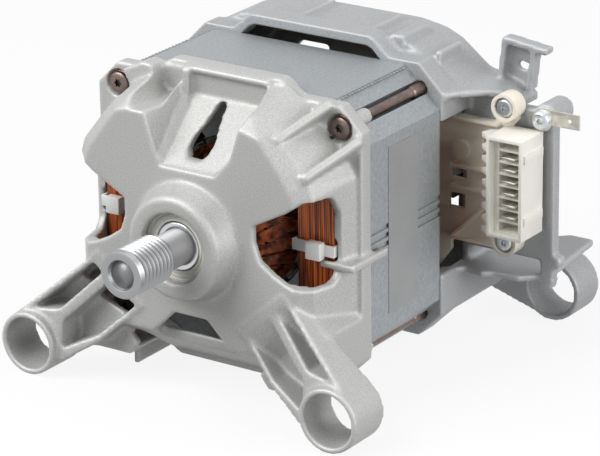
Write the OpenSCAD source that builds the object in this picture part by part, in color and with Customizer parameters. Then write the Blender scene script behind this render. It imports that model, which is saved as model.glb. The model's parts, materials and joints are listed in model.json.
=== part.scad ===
// Belt-drive universal motor of a washing machine, in millimetres.
// The shaft runs along Y with the back of the motor at +Y, +X is right from the front and +Z is up.
// The origin is on the shaft axis in the middle of the belt track.

/* [Layout along the shaft] */
// Middle of the belt track to the front of the stator core
belt_to_core = 67; // [66:0.5:72]
// Length of the stator core
core_len = 51.8; // [46:0.2:60]
// Front face of the front plate, forward of the core
plate_depth = 35; // [33:0.5:38]
// Front face of the hub, forward of the front plate
hub_rise = 11; // [10:0.5:13]
// Thickness of the front shield's flange
flange_t = 7; // [5:0.5:9]
// Back face of the front lugs, forward of the core
front_lug_back = 27.4; // [26:0.2:29]
// Length of the front lugs
front_lug_len = 20.5; // [18:0.5:24]
// Front face of the bracket plate, behind the core
bay_depth = 21.2; // [21:0.2:24]
// Depth of the rear shell, behind the core
rear_depth = 47.2; // [46:0.2:52]
// Front face of the rear lugs, behind the core
rear_lug_start = 64.7; // [60:0.5:70]
// Length of the rear lugs
rear_lug_len = 18; // [16:0.5:22]

/* [Stator] */
// Width of the core
core_w = 124.6; // [120:0.2:128]
// Height of the core
core_h = 114; // [110:0.5:118]
// How much each corner of the core is cut, as width plus height
corner_cut = 16.3; // [14:0.1:18]
// Radius of the bore in the core
core_bore_r = 33.6; // [33:0.1:35]
// Half height of a pole's neck
pole_half = 20; // [18:0.5:21]
// Inner side of the coil slots from the shaft axis
slot_in = 38; // [37:0.5:39]
// Wall between a coil slot and the core's side
slot_wall = 5.8; // [4.5:0.1:6.2]
// Half height of the slots' outer wall
slot_half = 32.5; // [32:0.5:35]
// Width of a bolt notch
notch_w = 7; // [6.6:0.1:8]
// Depth of the three grooves in each side
groove_d = 0.9; // [0.5:0.1:1.5]
// Pitch of the grooves in each side
groove_pitch = 3.6; // [3:0.1:4.5]

/* [Tie bolts] */
// Bolts from the core's sides, along X
bolt_in_x = 8.9; // [8.2:0.1:9.6]
// Bolts from the core's top and bottom, along Z
bolt_in_z = 8.7; // [8.2:0.1:9.4]
// Radius of the shank
bolt_r = 2.2; // [2:0.1:2.4]
// Radius of the threaded end
bolt_thread_r = 2.6; // [2.5:0.1:3]
// Radius of the head
bolt_head_r = 5; // [4.5:0.1:5.4]
// Height of the head
bolt_head_h = 2.8; // [2.4:0.1:3.5]
// Depth of thread in the rear shield
bolt_grip = 12; // [8:0.5:16]

/* [Front end shield] */
// Wall thickness
front_wall = 3.4; // [3:0.1:4]
// Outer radius of the hub's face
hub_r = 21.5; // [20.5:0.5:23]
// Radius of the opening in the hub's face
hub_open_r = 14.5; // [14:0.1:15]
// Outer radius of the lugs
lug_r = 13.35; // [12.8:0.05:14]
// Bore radius of the lugs
lug_bore_r = 11; // [9:0.5:11.5]
// Front lugs from the shaft axis, along X
front_lug_x = 73.3; // [70:0.1:76]
// Rear lugs from the shaft axis, along X
rear_lug_x = 77; // [74:0.5:80]
// All lugs below the shaft axis
lug_drop = 55.5; // [54:0.5:58]
// Height of the flange's humps
front_hump = 63.5; // [62.5:0.5:65]
// Thickness of the arms' ribs
rib_t = 3.2; // [2.6:0.1:3.6]

/* [Rear end shield] */
// Wall thickness
rear_wall = 3.5; // [3:0.1:4]
// Height of the rear rim's humps
rear_hump = 66; // [65:0.5:67]
// Thickness of the rim over the gap
rim_t = 4.7; // [4:0.1:5.5]
// Thickness of the bracket plate
bracket_t = 5.3; // [4:0.1:6]
// Right edge of the bracket plate
bracket_x = 102.8; // [101:0.2:105]
// Thickness of the bracket's top wall and shelf
shelf_t = 3; // [2.4:0.1:3.5]
// Tilt of the hook post
hook_tilt = 7; // [0:1:9]
// Height of the hook post
hook_h = 16; // [14:0.5:18]

/* [Bearings] */
// Front bearing, bore radius
fb_bore_r = 7.5; // [7.5:0.5:7.5]
// Front bearing, outer radius
fb_out_r = 17.5; // [17:0.1:18]
// Front bearing, width
fb_w = 11; // [10:0.5:12]
// Rear bearing, bore radius
rb_bore_r = 6; // [5.5:0.5:6]
// Rear bearing, outer radius
rb_out_r = 16; // [15.5:0.1:16.5]
// Rear bearing, width
rb_w = 10; // [9:0.5:10]
// Number of balls in each bearing
ball_n = 7; // [6:1:8]
// Radius of a ball
ball_r = 2.85; // [2.6:0.05:3]

/* [Drive pulley] */
// Number of belt grooves
groove_n = 8; // [6:1:8]
// Pitch of the belt grooves
belt_pitch = 2.34; // [2.34:0.01:2.4]
// Radius over the belt ribs
pulley_r = 9.7; // [9.4:0.1:11]
// Depth of a belt groove
belt_groove_d = 1.75; // [1.4:0.05:1.9]
// Plain rim in front of the first groove
pulley_rim = 2.64; // [2:0.1:3]
// Length of the collar behind the grooves
collar_len = 3; // [2:0.1:4]

/* [Armature] */
// Gap between armature and poles
air_gap = 0.6; // [0.4:0.05:0.8]
// Number of armature slots
arm_slots = 24; // [22:1:24]
// Depth of a slot
arm_slot_d = 13; // [11:0.5:14]
// Width of a slot
arm_slot_w = 3.6; // [3:0.1:4]
// Radius of the main shaft
shaft_r = 8.5; // [8.2:0.1:9]
// Radius of the shaft's nose in the pulley
nose_r = 5.4; // [5:0.1:6]
// Overhang of the front winding head
head_front = 17; // [14:0.5:18]
// Overhang of the rear winding head
head_rear = 12.5; // [11:0.5:13]
// Radius of the commutator
comm_r = 17.1; // [16.5:0.1:17.5]
// Length of the commutator's bars
comm_len = 18; // [16:0.5:19]

/* [Field coils] */
// Overhang of the coils in front of the core
coil_over = 14; // [12:0.5:15]
// Overhang of the coils behind the core
coil_over_rear = 9.5; // [8:0.5:11]
// Pitch of the outer layer's turns
coil_pitch = 1.34; // [1.3:0.02:1.8]
// Radius of the outer layer's wire
coil_wire_r = 0.42; // [0.3:0.02:0.46]
// Outer corner radius of a coil
coil_round = 9; // [7:0.5:10]

/* [Brushes] */
// Length of a brush
brush_len = 24; // [20:1:26]
// Width of a brush along the shaft
brush_w = 11.5; // [10:0.5:12]
// Thickness of a brush
brush_t = 5.6; // [5:0.1:6]
// Running gap round a brush
brush_gap = 0.25; // [0.2:0.01:0.3]
// Curls of a brush spring
spring_turns = 4; // [3:1:4]
// Wire radius of a brush spring
spring_wire_r = 0.4; // [0.3:0.05:0.45]

/* [Carrier and connector] */
// Thickness of the carrier plate
carrier_t = 1.8; // [1.6:0.1:1.8]
// Radius of the two screw bosses
boss_r = 5.8; // [5.2:0.1:6.2]
// Left side of the connector block
conn_x = 82.7; // [82:0.1:84]
// Width of the connector block
conn_w = 16.3; // [15:0.1:17]
// Depth of the connector block
conn_d = 18.7; // [16:0.1:20]
// Height of the connector block
conn_h = 42.3; // [41:0.1:44]
// Lower edge of the connector block
conn_z = -9.7; // [-10.5:0.1:-9]
// Pitch of the connector's ways
way_pitch = 5; // [4.8:0.1:5]
// Width of the earth tab
tab_w = 6.3; // [4.8:0.1:6.3]
// Thickness of the earth tab
tab_t = 0.8; // [0.8:0.1:1]

/* [Fits] */
// Clearance of pressed and seated pieces
seat = 0.02; // [0.01:0.01:0.05]
// Clearance between moving and fixed pieces
run_gap = 0.3; // [0.3:0.05:0.5]

/* [Hidden] */
$fn = 48;

cast_light = "#c4c3bd";
cast_mid = "#a3a3a4";
steel_grey = "#9aa1a8";
bright_steel = "#c9ccd0";
bronze = "#6d5148";
copper = "#a8532a";
insulation = "#8d9183";
cream = "#e9e4d4";

core_front = belt_to_core;
core_back = core_front + core_len;
plate_y = core_front - plate_depth;
hub_y = plate_y - hub_rise;
flange_y = core_front - flange_t;
bay_y = core_back + bay_depth;
shell_back = core_back + rear_depth;
half_w = core_w / 2;
half_h = core_h / 2;
corner_sum = half_w + half_h - corner_cut;
bolt_x = half_w - bolt_in_x;
bolt_z = half_h - bolt_in_z;
slot_out = half_w - slot_wall;
far = 90;
cut = 1;

// Solid of a flat outline given in X and Z, from y0 to y1
module along_y(y0, y1) {
    translate([0, y1, 0])
        rotate([90, 0, 0])
            linear_extrude(y1 - y0)
                children();
}

// Solid of a flat outline given in Y and Z, from x0 to x1
module along_x(x0, x1) {
    translate([x0, 0, 0])
        rotate([90, 0, 90])
            linear_extrude(x1 - x0)
                children();
}

// Solid turned round the shaft axis from [radius, y] points
module turned(points) {
    rotate([-90, 0, 0])
        rotate_extrude($fn = 96)
            polygon(points);
}

// Ring round the shaft axis
module ring_y(r_out, r_in, y0, y1) {
    turned([[r_in, y0], [r_out, y0], [r_out, y1], [r_in, y1]]);
}

// Round bar along Y through a point of X and Z
module rod_y(x, z, r, y0, y1) {
    translate([x, y0, z])
        rotate([-90, 0, 0])
            cylinder(r = r, h = y1 - y0);
}

module block(x0, x1, y0, y1, z0, z1) {
    translate([x0, y0, z0])
        cube([x1 - x0, y1 - y0, z1 - z0]);
}

module both_sides() {
    children();
    mirror([1, 0, 0])
        children();
}

module four_bolts() {
    for (sx = [-1, 1], sz = [-1, 1])
        translate([sx * bolt_x, 0, sz * bolt_z])
            children();
}

function unit(v) = v / norm(v);
function mirror_x(points) = [for (i = [len(points) - 1:-1:0]) [-points[i][0], points[i][1]]];
function flip_z(points) = [for (i = [len(points) - 1:-1:0]) [points[i][0], -points[i][1]]];
// Outline symmetric about both axes from its quarter, which runs from the top centre to the right
function from_quarter(q) = let(half = concat(q, flip_z(q))) concat(half, mirror_x(half));
function sum_point(sum, diff) = [(sum + diff) / 2, (sum - diff) / 2];
// Soft step of height between two places
function s_curve(x0, z0, x1, z1, n) =
    [for (i = [0:n]) [x0 + (x1 - x0) * i / n, z0 + (z1 - z0) * (1 - cos(180 * i / n)) / 2]];
// Line between two points moved sideways, to the left of its direction for a positive d
function beside(p, q, d) = let(u = unit(q - p)) [p + d * [-u[1], u[0]], q + d * [-u[1], u[0]]];

// Front end shield

side_x = half_w + 1.2;
flat_z = half_h + 0.5;
shield_cut = 10;
chamfer_sum = side_x + flat_z - shield_cut;
hump_x = 25;
hump_run = 35;
front_outline = from_quarter(concat(s_curve(hump_x, front_hump, hump_run, flat_z, 6),
    [[chamfer_sum - flat_z, flat_z], [side_x, chamfer_sum - side_x]]));
rim_in = 4.2;
front_inner = from_quarter([[hump_x, front_hump - rim_in], [hump_run - 2, flat_z - rim_in],
    [half_w - 22.3, flat_z - rim_in - 1], [half_w - 4.3, 36]]);
// Right half of the front plate's outline: at its face, where its soft edge ends, and at its foot
edge_run = 6;
plate_face = [[24, 51], [half_w - 28.3, 48.5], [half_w - 20.3, 38.5], [half_w - 14, 29.5],
    [half_w - 12.3, 25], [half_w - 12.3, -21], [half_w - 18.3, -30.5], [half_w - 29.3, -42]];
plate_edge = [[29, 55], [half_w - 23.8, 50.3], [half_w - 16, 41.5], [half_w - 8, 31.5], [half_w - 6.3, 26],
    [half_w - 6.3, -24], [half_w - 14.3, -34], [half_w - 26.3, -45]];
plate_foot = [[30, 61], [half_w - 24.3, 56.4], [half_w - 5.9, 38], [half_w - 0.8, 30],
    [half_w - 0.8, -46], [half_w - 11.3, -56], [half_w - 32.3, -61]];
inner_face = [[22, 47.5], [half_w - 31, 44.5], [half_w - 23.8, 35], [half_w - 18.5, 27],
    [half_w - 16.3, 22], [half_w - 16.3, -18.5], [half_w - 22, -27.5], [half_w - 32, -38.5]];
inner_edge = [[27, 51], [half_w - 27, 46.6], [half_w - 19.5, 38.5], [half_w - 12.4, 30],
    [half_w - 9.7, 24.5], [half_w - 9.7, -22], [half_w - 16.8, -31], [half_w - 28.3, -41.5]];
inner_foot = [[28.5, 57.4], [half_w - 26.3, 52.6], [half_w - 9.7, 36], [half_w - 4.2, 28.6],
    [half_w - 4.2, -44], [half_w - 13.7, -52.4], [half_w - 34.3, -57.4]];
// Valley that falls from the flange's lip to the hub
valley_right = [[13, 29], [20.5, 37.6], [24.4, 49], [25.5, 53], [25.5, far]];
valley_outline = concat(valley_right, [[-30, far], [-30, 29]]);
valley_slope = 0.857;
lip_x = 18.6;
valley_z = 28;
valley_wall = front_wall * norm([1, valley_slope]);
function valley_at(y) = valley_z + valley_slope * (y - plate_y);
// Its left side leans on a plane through this point, with this direction out of the metal
lean_at = [-15.2, plate_y + 1, 34.1];
lean_dir = [480.7, -77.5, 156.4];

module tapered_body(face, edge, foot, y0, y1) {
    hull() {
        along_y(y0, y0 + 0.5)
            polygon(concat(face, mirror_x(face)));
        along_y(y0 + edge_run, y0 + edge_run + 0.5)
            polygon(concat(edge, mirror_x(edge)));
        along_y(y1 - 0.5, y1)
            polygon(concat(foot, mirror_x(foot)));
    }
}

// Everything on the side of a plane that its direction points to
module beyond(at, dir) {
    translate(at)
        rotate([0, acos(dir[2] / norm(dir)), atan2(dir[1], dir[0])])
            translate([-far, -far, 0])
                cube(2 * far);
}

// Valley, above its floor and between its leaning sides
module valley() {
    intersection() {
        along_y(hub_y, flange_y - 1)
            polygon(valley_outline);
        along_x(-far, far)
            polygon([[plate_y - cut, valley_at(plate_y - cut)], [flange_y, valley_at(flange_y)],
                [flange_y, far], [plate_y - cut, far]]);
        linear_extrude(far)
            polygon([[-far, hub_y], [33, hub_y], [21, flange_y], [-far, flange_y]]);
        beyond(lean_at, lean_dir);
    }
}

arm_top = [[44.7, -13], [79.4, -43.2]];
arm_mid = [[38.4, -20.9], [62.4, -44.5]];
arm_low = [[22.7, -32.3], [43.2, -51.2]];
arm_foot = [58.9, -61.2];
lug_centre = [front_lug_x, -lug_drop];
lug_y1 = core_front - front_lug_back;
lug_y0 = lug_y1 - front_lug_len;
arm_floor = lug_y1 - rib_t;

// Block of one arm, with the lug's outside
module arm_block() {
    difference() {
        along_y(lug_y0 + 1.9, lug_y1)
            polygon([arm_top[0], arm_top[1], lug_centre, arm_foot, arm_low[1], arm_low[0]]);
        // Front edges fall back from the lug to the plate
        along_arm()
            linear_extrude(200, center = true)
                polygon([[-40, plate_y - 0.6], [4, plate_y - 0.6], [46, lug_y0 + 1.9], [46, -20], [-40,
                    -20]]);
    }
    rod_y(lug_centre[0], lug_centre[1], lug_r, lug_y0, lug_y1);
}

// X along the arm from the start of its middle rib, Y as before
module along_arm() {
    dir = arm_mid[1] - arm_mid[0];
    translate([arm_mid[0][0], 0, arm_mid[0][1]])
        rotate([0, -atan2(dir[1], dir[0]), 0])
            children();
}

// Outline of the pocket between two ribs, from share s0 to share s1 of their length, with any
// further corners at its outer end
function between(a, b, s0, s1, more = []) =
    let(l = beside(a[0], a[1], -rib_t * 0.75), m = beside(b[0], b[1], rib_t * 0.75))
    concat([l[0] + (l[1] - l[0]) * s0, l[0] + (l[1] - l[0]) * s1], more,
        [m[0] + (m[1] - m[0]) * s1, m[0] + (m[1] - m[0]) * s0]);

// Pockets of the right arm, whose floor falls away from the plate
module right_pockets() {
    intersection() {
        union() {
            along_y(lug_y0 - cut, arm_floor)
                polygon(between(arm_top, arm_mid, 0.06, 0.86));
            along_y(lug_y0 - cut, arm_floor)
                polygon(between(arm_mid, arm_low, 0.06, 0.92, [arm_foot + [0, 5.5]]));
        }
        along_arm()
            linear_extrude(200, center = true)
                polygon([[0, plate_y - cut], [8, plate_y + 1], [17, arm_floor], [70, arm_floor], [70,
                    -20], [0, -20]]);
    }
}

// Pockets of the left arm, open through the casting near the hub
module left_pockets() {
    along_y(lug_y0 - cut, arm_floor)
        polygon(between(arm_top, arm_mid, 0.42, 0.86));
    along_y(lug_y0 - cut, arm_floor)
        polygon(between(arm_mid, arm_low, 0.5, 0.92, [arm_foot + [0, 5.5]]));
    along_y(lug_y0 - cut, lug_y1 + cut)
        polygon(between(arm_top, arm_mid, 0.12, 0.43));
    along_y(lug_y0 - cut, lug_y1 + cut)
        polygon(between(arm_mid, arm_low, 0.12, 0.51));
}

// Lower corner wall that carries the arm
module lower_corner() {
    along_y(lug_y1 - rib_t, flange_y + cut)
        polygon([[half_w - 12.3, -17.6], [side_x, -28.6], [side_x, -flat_z + 10],
            [side_x - 10.5, -flat_z], [34, -flat_z], [30, -52], [half_w - 18.3, -34]]);
}

module lower_corner_inside() {
    along_y(lug_y1, flange_y + 2 * cut)
        polygon([[half_w - 14.3, -22], [side_x - front_wall, -31.5], [side_x - front_wall, -45],
            [side_x - 13, -flat_z + front_wall], [30, -flat_z + front_wall], [28, -40]]);
}

rib_a = 8;
rib_b = -18;
// Round-topped rib beside a corner screw, on the line Z - X = diff
module corner_rib(diff) {
    p0 = sum_point(chamfer_sum - 25, -diff);
    p1 = sum_point(chamfer_sum - 4, -diff);
    hull() {
        rod_y(p0[0], p0[1], rib_t * 0.6, plate_y + 4, flange_y);
        rod_y(p1[0], p1[1], rib_t * 0.6, flange_y - 2, flange_y);
    }
}

// The windows run round the plate's edge into the side walls
window_right = [[31, 12], [31, 5], [33.5, -1.8], [40, -6.3], [46, -9.2], [half_w - 9.3, -11.2],
    [half_w + 1.7, -11.2], [half_w + 1.7, 24.5], [half_w - 9.3, 25], [46, 20]];
window_back = plate_y + 20;
window_side = [[hub_y, -16], [plate_y + 5, -16], [window_back - 7, -13], [window_back - 2, -9.5],
    [window_back, -6.5], [flange_y - 1.5, -5], [flange_y - 1.5, 1], [window_back, 8],
    [window_back, 17], [window_back - 3, 23], [window_back - 8, 27], [hub_y, 27]];
tab_z = -6.3;
side_tab_t = 3;
leaf_half = [[2.8, 32], [5.2, 34.5], [5.3, 38], [3.4, 42.4], [2, 49], [1.2, 50]];
leaf = concat(leaf_half, mirror_x(leaf_half));
lower_half = [[8, -32], [13, -37], [18.5, -42], [19.5, -50]];
lower_window = concat(lower_half, mirror_x(lower_half));

// Tab beside the right window, which laps over the core's side
module side_tab() {
    translate([0, 0, tab_z])
        linear_extrude(side_tab_t)
            polygon([[half_w - 12, window_back - 2.2], [half_w + 3.7, window_back - 2.2],
                [half_w + 3.7, core_front + 8], [half_w + 0.3, core_front + 8],
                [half_w + 0.3, core_front - 0.3], [half_w - 3.8, core_front - 0.3],
                [half_w - 3.8, flange_y - 2], [half_w - 4.9, window_back - 0.5],
                [half_w - 12, window_back - 0.5]]);
}

module front_casting() {
    seat_y = core_front - 42;
    difference() {
        union() {
            difference() {
                union() {
                    tapered_body(plate_face, plate_edge, plate_foot, plate_y, flange_y + cut);
                    both_sides()
                        lower_corner();
                }
                valley();
                // Pocket left of the pillar
                along_y(hub_y, flange_y - 1)
                    polygon([[-29.5, 53], [-27, 50], [-19, 50], [-19, far], [-29.5, far]]);
            }
            // Rib down the valley's left side and the pillar at its top
            hull() {
                rod_y(-14.5, valley_at(plate_y + 3), 1.2, plate_y + 1, plate_y + 6);
                rod_y(-16.5, valley_at(flange_y - 4) + 1, 1.4, flange_y - 5, flange_y);
            }
            block(-lip_x, -15.2, flange_y - 4.5, flange_y + cut, 46, front_hump - 2);
            // Lip over the valley
            block(-lip_x, 22, flange_y - 3, flange_y + cut, front_hump - 3.2, front_hump - 0.8);
            along_y(flange_y, core_front)
                polygon(front_outline);
            turned([[0, hub_y], [hub_r - 1.5, hub_y], [hub_r, hub_y + 1.5], [hub_r + 1, hub_y + 6],
                [hub_r + 3.5, plate_y + cut], [hub_r + 3.5, seat_y + fb_w + 3], [0, seat_y + fb_w + 3]]);
            both_sides()
                arm_block();
            corner_rib(rib_a);
            corner_rib(rib_b);
            // Block beside the upper left screw
            along_y(flange_y - 9, flange_y + 1)
                polygon([[-44.5, 58], [-38.5, 48.5], [-30, 48.5], [-30, 62], [-34, 63]]);
            // Bolt noses that enter the notches of the core
            four_bolts()
                rod_y(0, 0, notch_w / 2 - 0.15, core_front - cut, core_front + 12);
            // Upright tab under the left side
            block(-42.3, -39.7, flange_y - 10, core_front - 0.3, -flat_z - 10, -flat_z + 2);
            block(-42.3, -39.7, core_front - 1, core_front + 6, -flat_z - 10, -half_h - 0.3);
        }
        // Inside of the casting
        difference() {
            union() {
                tapered_body(inner_face, inner_edge, inner_foot, plate_y + front_wall, flange_y + cut);
                both_sides()
                    lower_corner_inside();
                along_y(flange_y - cut, core_front + cut)
                    polygon(front_inner);
            }
            // The valley and the pocket keep their own wall
            along_x(-30 - front_wall, 26 + front_wall)
                polygon([[plate_y, valley_at(plate_y) - valley_wall], [flange_y,
                    valley_at(flange_y) - valley_wall],
                    [flange_y + 1.5, valley_at(flange_y) - valley_wall], [flange_y + 1.5, far], [plate_y,
                        far]]);
            turned([[0, plate_y], [hub_r + 3.2, plate_y], [hub_r + 3.2, seat_y + fb_w + 6], [0,
                seat_y + fb_w + 6]]);
            four_bolts()
                rod_y(0, 0, 6.4, flange_y - 2, core_front + 2);
        }
        right_pockets();
        mirror([1, 0, 0])
            left_pockets();
        both_sides()
            rod_y(lug_centre[0], lug_centre[1], lug_bore_r, lug_y0 - cut, lug_y1 + cut);
        both_sides()
            intersection() {
                along_y(hub_y, window_back)
                    polygon(window_right);
                along_x(28, half_w + 5)
                    polygon(window_side);
            }
        along_y(hub_y, flange_y + cut)
            polygon(leaf);
        along_y(hub_y, plate_y + 8)
            polygon(lower_window);
        rod_y(0, 0, hub_open_r, hub_y - cut, seat_y + fb_w + 7);
        rod_y(0, 0, fb_out_r + seat, seat_y, seat_y + fb_w + 7);
        // Room for the cable ties
        both_sides()
            block(coil_x0, tie_x1 + tie_t + run_gap, coil_y0 - 3.1, flange_y + cut, -4.5, 5.5);
        // Bolt holes and head seats
        four_bolts() {
            rod_y(0, 0, bolt_r + 0.3, flange_y - 10, core_front + 20);
            rod_y(0, 0, bolt_head_r + 0.8, flange_y - 12, flange_y + 2.5);
        }
    }
}

module front_end_shield() {
    color(cast_light) {
        front_casting();
        side_tab();
    }
}

// Rear end shield

shell_y = core_back + 10;
shoulder_z = flat_z + 1;
rear_outline = from_quarter(concat([[14, rear_hump]], s_curve(28, rear_hump, 40, shoulder_z, 6),
    [[chamfer_sum - shoulder_z, shoulder_z], [side_x, chamfer_sum - side_x]]));
rear_inner = from_quarter(concat([[14, rear_hump - rim_t]],
    s_curve(28, rear_hump - rim_t, 38, shoulder_z - 4.5, 4),
    [[half_w - 20.3, shoulder_z - 5.5], [half_w - 4.8, 38]]));
shell_outline = from_quarter([[29, rear_hump - 2.2], [half_w - 20.9, 61.8], [half_w - 12.8, 58.3],
    [side_x, 47.5]]);
shell_inner = from_quarter([[28, rear_hump - 2.2 - rear_wall], [half_w - 22.7, 58.4], [half_w - 15, 55],
    [side_x - rear_wall, 45.4]]);
rear_face_outline = from_quarter([[27, 58], [half_w - 24.3, 56], [half_w - 16.3, 50], [half_w - 8.3, 40]]);
rear_face_inner = from_quarter([[27, 55], [half_w - 26.3, 53], [half_w - 19.3, 47], [half_w - 11.3, 38]]);
rb_y = core_back + 39.2;
rb_end = rb_y + rb_w;
washer_t = 0.8;
cap_y = rb_end + 4;
plug_top = conn_z + conn_h;
bay_top = plug_top + 2.9;
bracket_z = plug_top + 7.8;
bay_low = -30;
rear_lug_y0 = core_back + rear_lug_start;
rear_lug_y1 = rear_lug_y0 + rear_lug_len;
boss_a = [84, plug_top + 8.7];
boss_b = [84.3, -16];
earth_at = [98, plug_top + 4.4];
shelf_back = core_back + 69;

// Foot of the bracket, inside the shell's side wall
foot_x = side_x - rear_wall;
// Bracket's top wall, seen along Y
module top_wall_outline() {
    translate([0, bracket_z])
        polygon([[foot_x, 7.5], [75, 5.6], [77.2, 5], [80.5, 3.4], [83.8, 0.2], [83.8, -3.4], [81, -2.8],
            [78.8, 0.6], [76, 2.6], [foot_x, 4.6]]);
}

module bracket() {
    // Back plate, with the raised pad of the earth screw
    difference() {
        along_y(bay_y, bay_y + bracket_t)
            polygon([[foot_x, bracket_z + 5.6], [75, bracket_z + 5.1], [81, bracket_z + 3.1], [84,
                bracket_z],
                [bracket_x, bracket_z], [bracket_x, bay_low], [99, bay_low - 2], [foot_x, bay_low + 1]]);
        block(foot_x - 3, 79, bay_y - cut, bay_y + bracket_t + cut, -17, 30);
        // The shelf runs on below the carrier
        block(foot_x - 3, bracket_x - 6, bay_y - cut, bay_y + bracket_t + cut, bay_low, -23.5);
    }
    block(boss_a[0] + boss_r + run_gap, bracket_x - 0.1, bay_y - 0.6, bay_y + cut, plug_top + 0.2,
        bracket_z);
    rod_y(earth_at[0], earth_at[1] + 0.5, 5.5, bay_y + cut, bay_y + bracket_t + 10);
    difference() {
        along_y(core_back + 0.4, bay_y + 20)
            top_wall_outline();
        // Front edge runs back along a slant
        linear_extrude(far)
            polygon([[foot_x - 2, 0], [side_x - 0.2, 0], [side_x - 0.2, core_back], [69.5, 130], [76.2,
                bay_y - 2],
                [77.4, bay_y], [120, bay_y], [120, 0]]);
    }
    // Lower shelf with its tail towards the rear lug
    translate([0, 0, bay_low - shelf_t])
        linear_extrude(shelf_t)
            polygon([[foot_x, 131], [side_x, 130], [66, 133], [70, 132.2], [75, 131], [79, 134], [90,
                134.6],
                [97.4, bay_y + 2], [99.5, bay_y + 6], [98.6, bay_y + 16], [95.2, shelf_back],
                [84, shelf_back], [foot_x, bay_y + 24]]);
    // Foot of the plate below the shelf, and the knob at its right edge
    along_y(bay_y, bay_y + bracket_t)
        polygon([[bracket_x - 5, bay_low - 1], [bracket_x, bay_low - 1],
            [bracket_x - 0.6, bay_low - shelf_t - 2.2], [bracket_x - 4.2, bay_low - shelf_t - 2.2]]);
    rod_y(bracket_x + 0.6, bay_low + 6.5, 2.8, bay_y, bay_y + bracket_t);
}

module hook_post() {
    translate([78, bay_y + 10, bracket_z + 6.1])
        rotate([0, hook_tilt, 0])
            difference() {
                union() {
                    block(-8, -5.6, 0, 6.5, -2, hook_h - 1);
                    block(5.6, 8, 0, 6.5, -2, hook_h - 1);
                    block(-8, 8, 4.5, 6.5, -2, hook_h);
                    block(-8, 13, 0, 6.5, hook_h - 1.5, hook_h + 1.5);
                }
                block(-1, 3.8, 4, 8, 4.5, 7.6);
            }
}

arm_wall = [[side_x, bay_low - shelf_t + cut], [side_x, -47.5], [half_w - 12.8, -58.3], [half_w - 17.3, -59]];
arm_plate = 6;
// Arm of a rear lug: the shell's lower side runs back as an angle to the plate that holds the lug
module rear_arm() {
    difference() {
        along_y(shell_back - 16, rear_lug_y0 + arm_plate)
            polygon(concat(arm_wall, [[half_w - 17.3, bay_low - shelf_t + cut]]));
        along_y(shell_back - 6, rear_lug_y0)
            polygon([[side_x - rear_wall, far], [side_x - rear_wall, -46], [half_w - 14.2, -54.6],
                [half_w - 17.3 - cut, -55.2], [half_w - 17.3 - cut, far]]);
        block(0, far, rear_lug_y0 - cut, rear_lug_y0 + arm_plate + cut, -42, 0);
    }
    hull() {
        along_y(rear_lug_y0, rear_lug_y0 + arm_plate)
            polygon([[side_x, -42], [side_x, -47.5], [half_w - 12.8, -58.3], [half_w - 17.3, -59],
                [half_w - 17.3, -42]]);
        rod_y(rear_lug_x, -lug_drop, lug_r - 0.7, rear_lug_y0, rear_lug_y0 + arm_plate);
    }
    rod_y(rear_lug_x, -lug_drop, lug_r, rear_lug_y0, rear_lug_y1);
}

vent = [[24, 12], [44, 12], [44, 30], [34, 42], [20, 42], [22, 26]];

module rear_end_shield() {
    color(cast_mid)
    difference() {
        union() {
            along_y(core_back, shell_y + 0.5)
                polygon(rear_outline);
            along_y(shell_y, shell_back - 8)
                polygon(shell_outline);
            hull() {
                along_y(shell_back - 8.5, shell_back - 8)
                    polygon(shell_outline);
                along_y(shell_back - 0.5, shell_back)
                    polygon(rear_face_outline);
            }
            // Hub of the rear bearing
            turned([[0, shell_back - 6], [rb_out_r + 6, shell_back - 6], [rb_out_r + 4.5, cap_y - 0.3],
                [0, cap_y - 0.3]]);
            // Ribs along the top
            block(-12, -10, core_back + 6, shell_back - 12, rear_hump - 3, rear_hump + 0.2);
            block(22.5, 25, core_back + 6, shell_back - 14, rear_hump - 4, rear_hump + 0.2);
            block(33.5, 39.5, core_back + 8.5, core_back + 29, 55, rear_hump - 0.6);
            block(52, 54.5, core_back + 13, core_back + 30, 45, rear_hump - 6);
            bracket();
            hook_post();
            both_sides()
                rear_arm();
        }
        // Inside of the shell
        difference() {
            union() {
                along_y(core_back - cut, shell_y + 1)
                    polygon(rear_inner);
                along_y(shell_y, shell_back - 9)
                    polygon(shell_inner);
                along_y(shell_back - 9.5, shell_back - rear_wall)
                    polygon(rear_face_inner);
            }
            four_bolts()
                rod_y(0, 0, 6.4, core_back, core_back + bolt_grip + 4);
            turned([[0, rb_y - 1], [rb_out_r + 3.5, rb_y - 1], [rb_out_r + 6, shell_back], [0,
                shell_back]]);
        }
        // Bay on the right where the carrier comes out
        block(half_w - 12.3, 80, core_back - cut, bay_y, bay_low, bay_top);
        both_sides()
            along_y(shell_back - 9, shell_back + cut)
                polygon(vent);
        both_sides()
            along_y(shell_back - 9, shell_back + cut)
                polygon(flip_z(vent));
        both_sides() {
            rod_y(rear_lug_x, -lug_drop, lug_bore_r, rear_lug_y0 - cut, rear_lug_y1 + cut);
            rod_y(rear_lug_x, -lug_drop, lug_bore_r + 0.5, rear_lug_y0 - 12, rear_lug_y0);
        }
        rod_y(0, 0, rb_out_r + seat, rb_y - 2, rb_end + washer_t);
        rod_y(0, 0, rb_out_r - 3, rb_end - 1, cap_y + cut);
        four_bolts() {
            rod_y(0, 0, bolt_r + 0.3, core_back - cut, core_back + bolt_grip + 1);
            rod_y(0, 0, bolt_thread_r + seat, core_back - cut, core_back + bolt_grip + 1);
        }
        rod_y(boss_a[0], boss_a[1], 1.3, bay_y - 5, bay_y + 4);
        rod_y(boss_b[0], boss_b[1], 1.3, bay_y - 5, bay_y + 4);
        rod_y(earth_at[0], earth_at[1], 2 + seat, bay_y - 5, bay_y + 10);
    }
}

// Stator core and its coils

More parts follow.
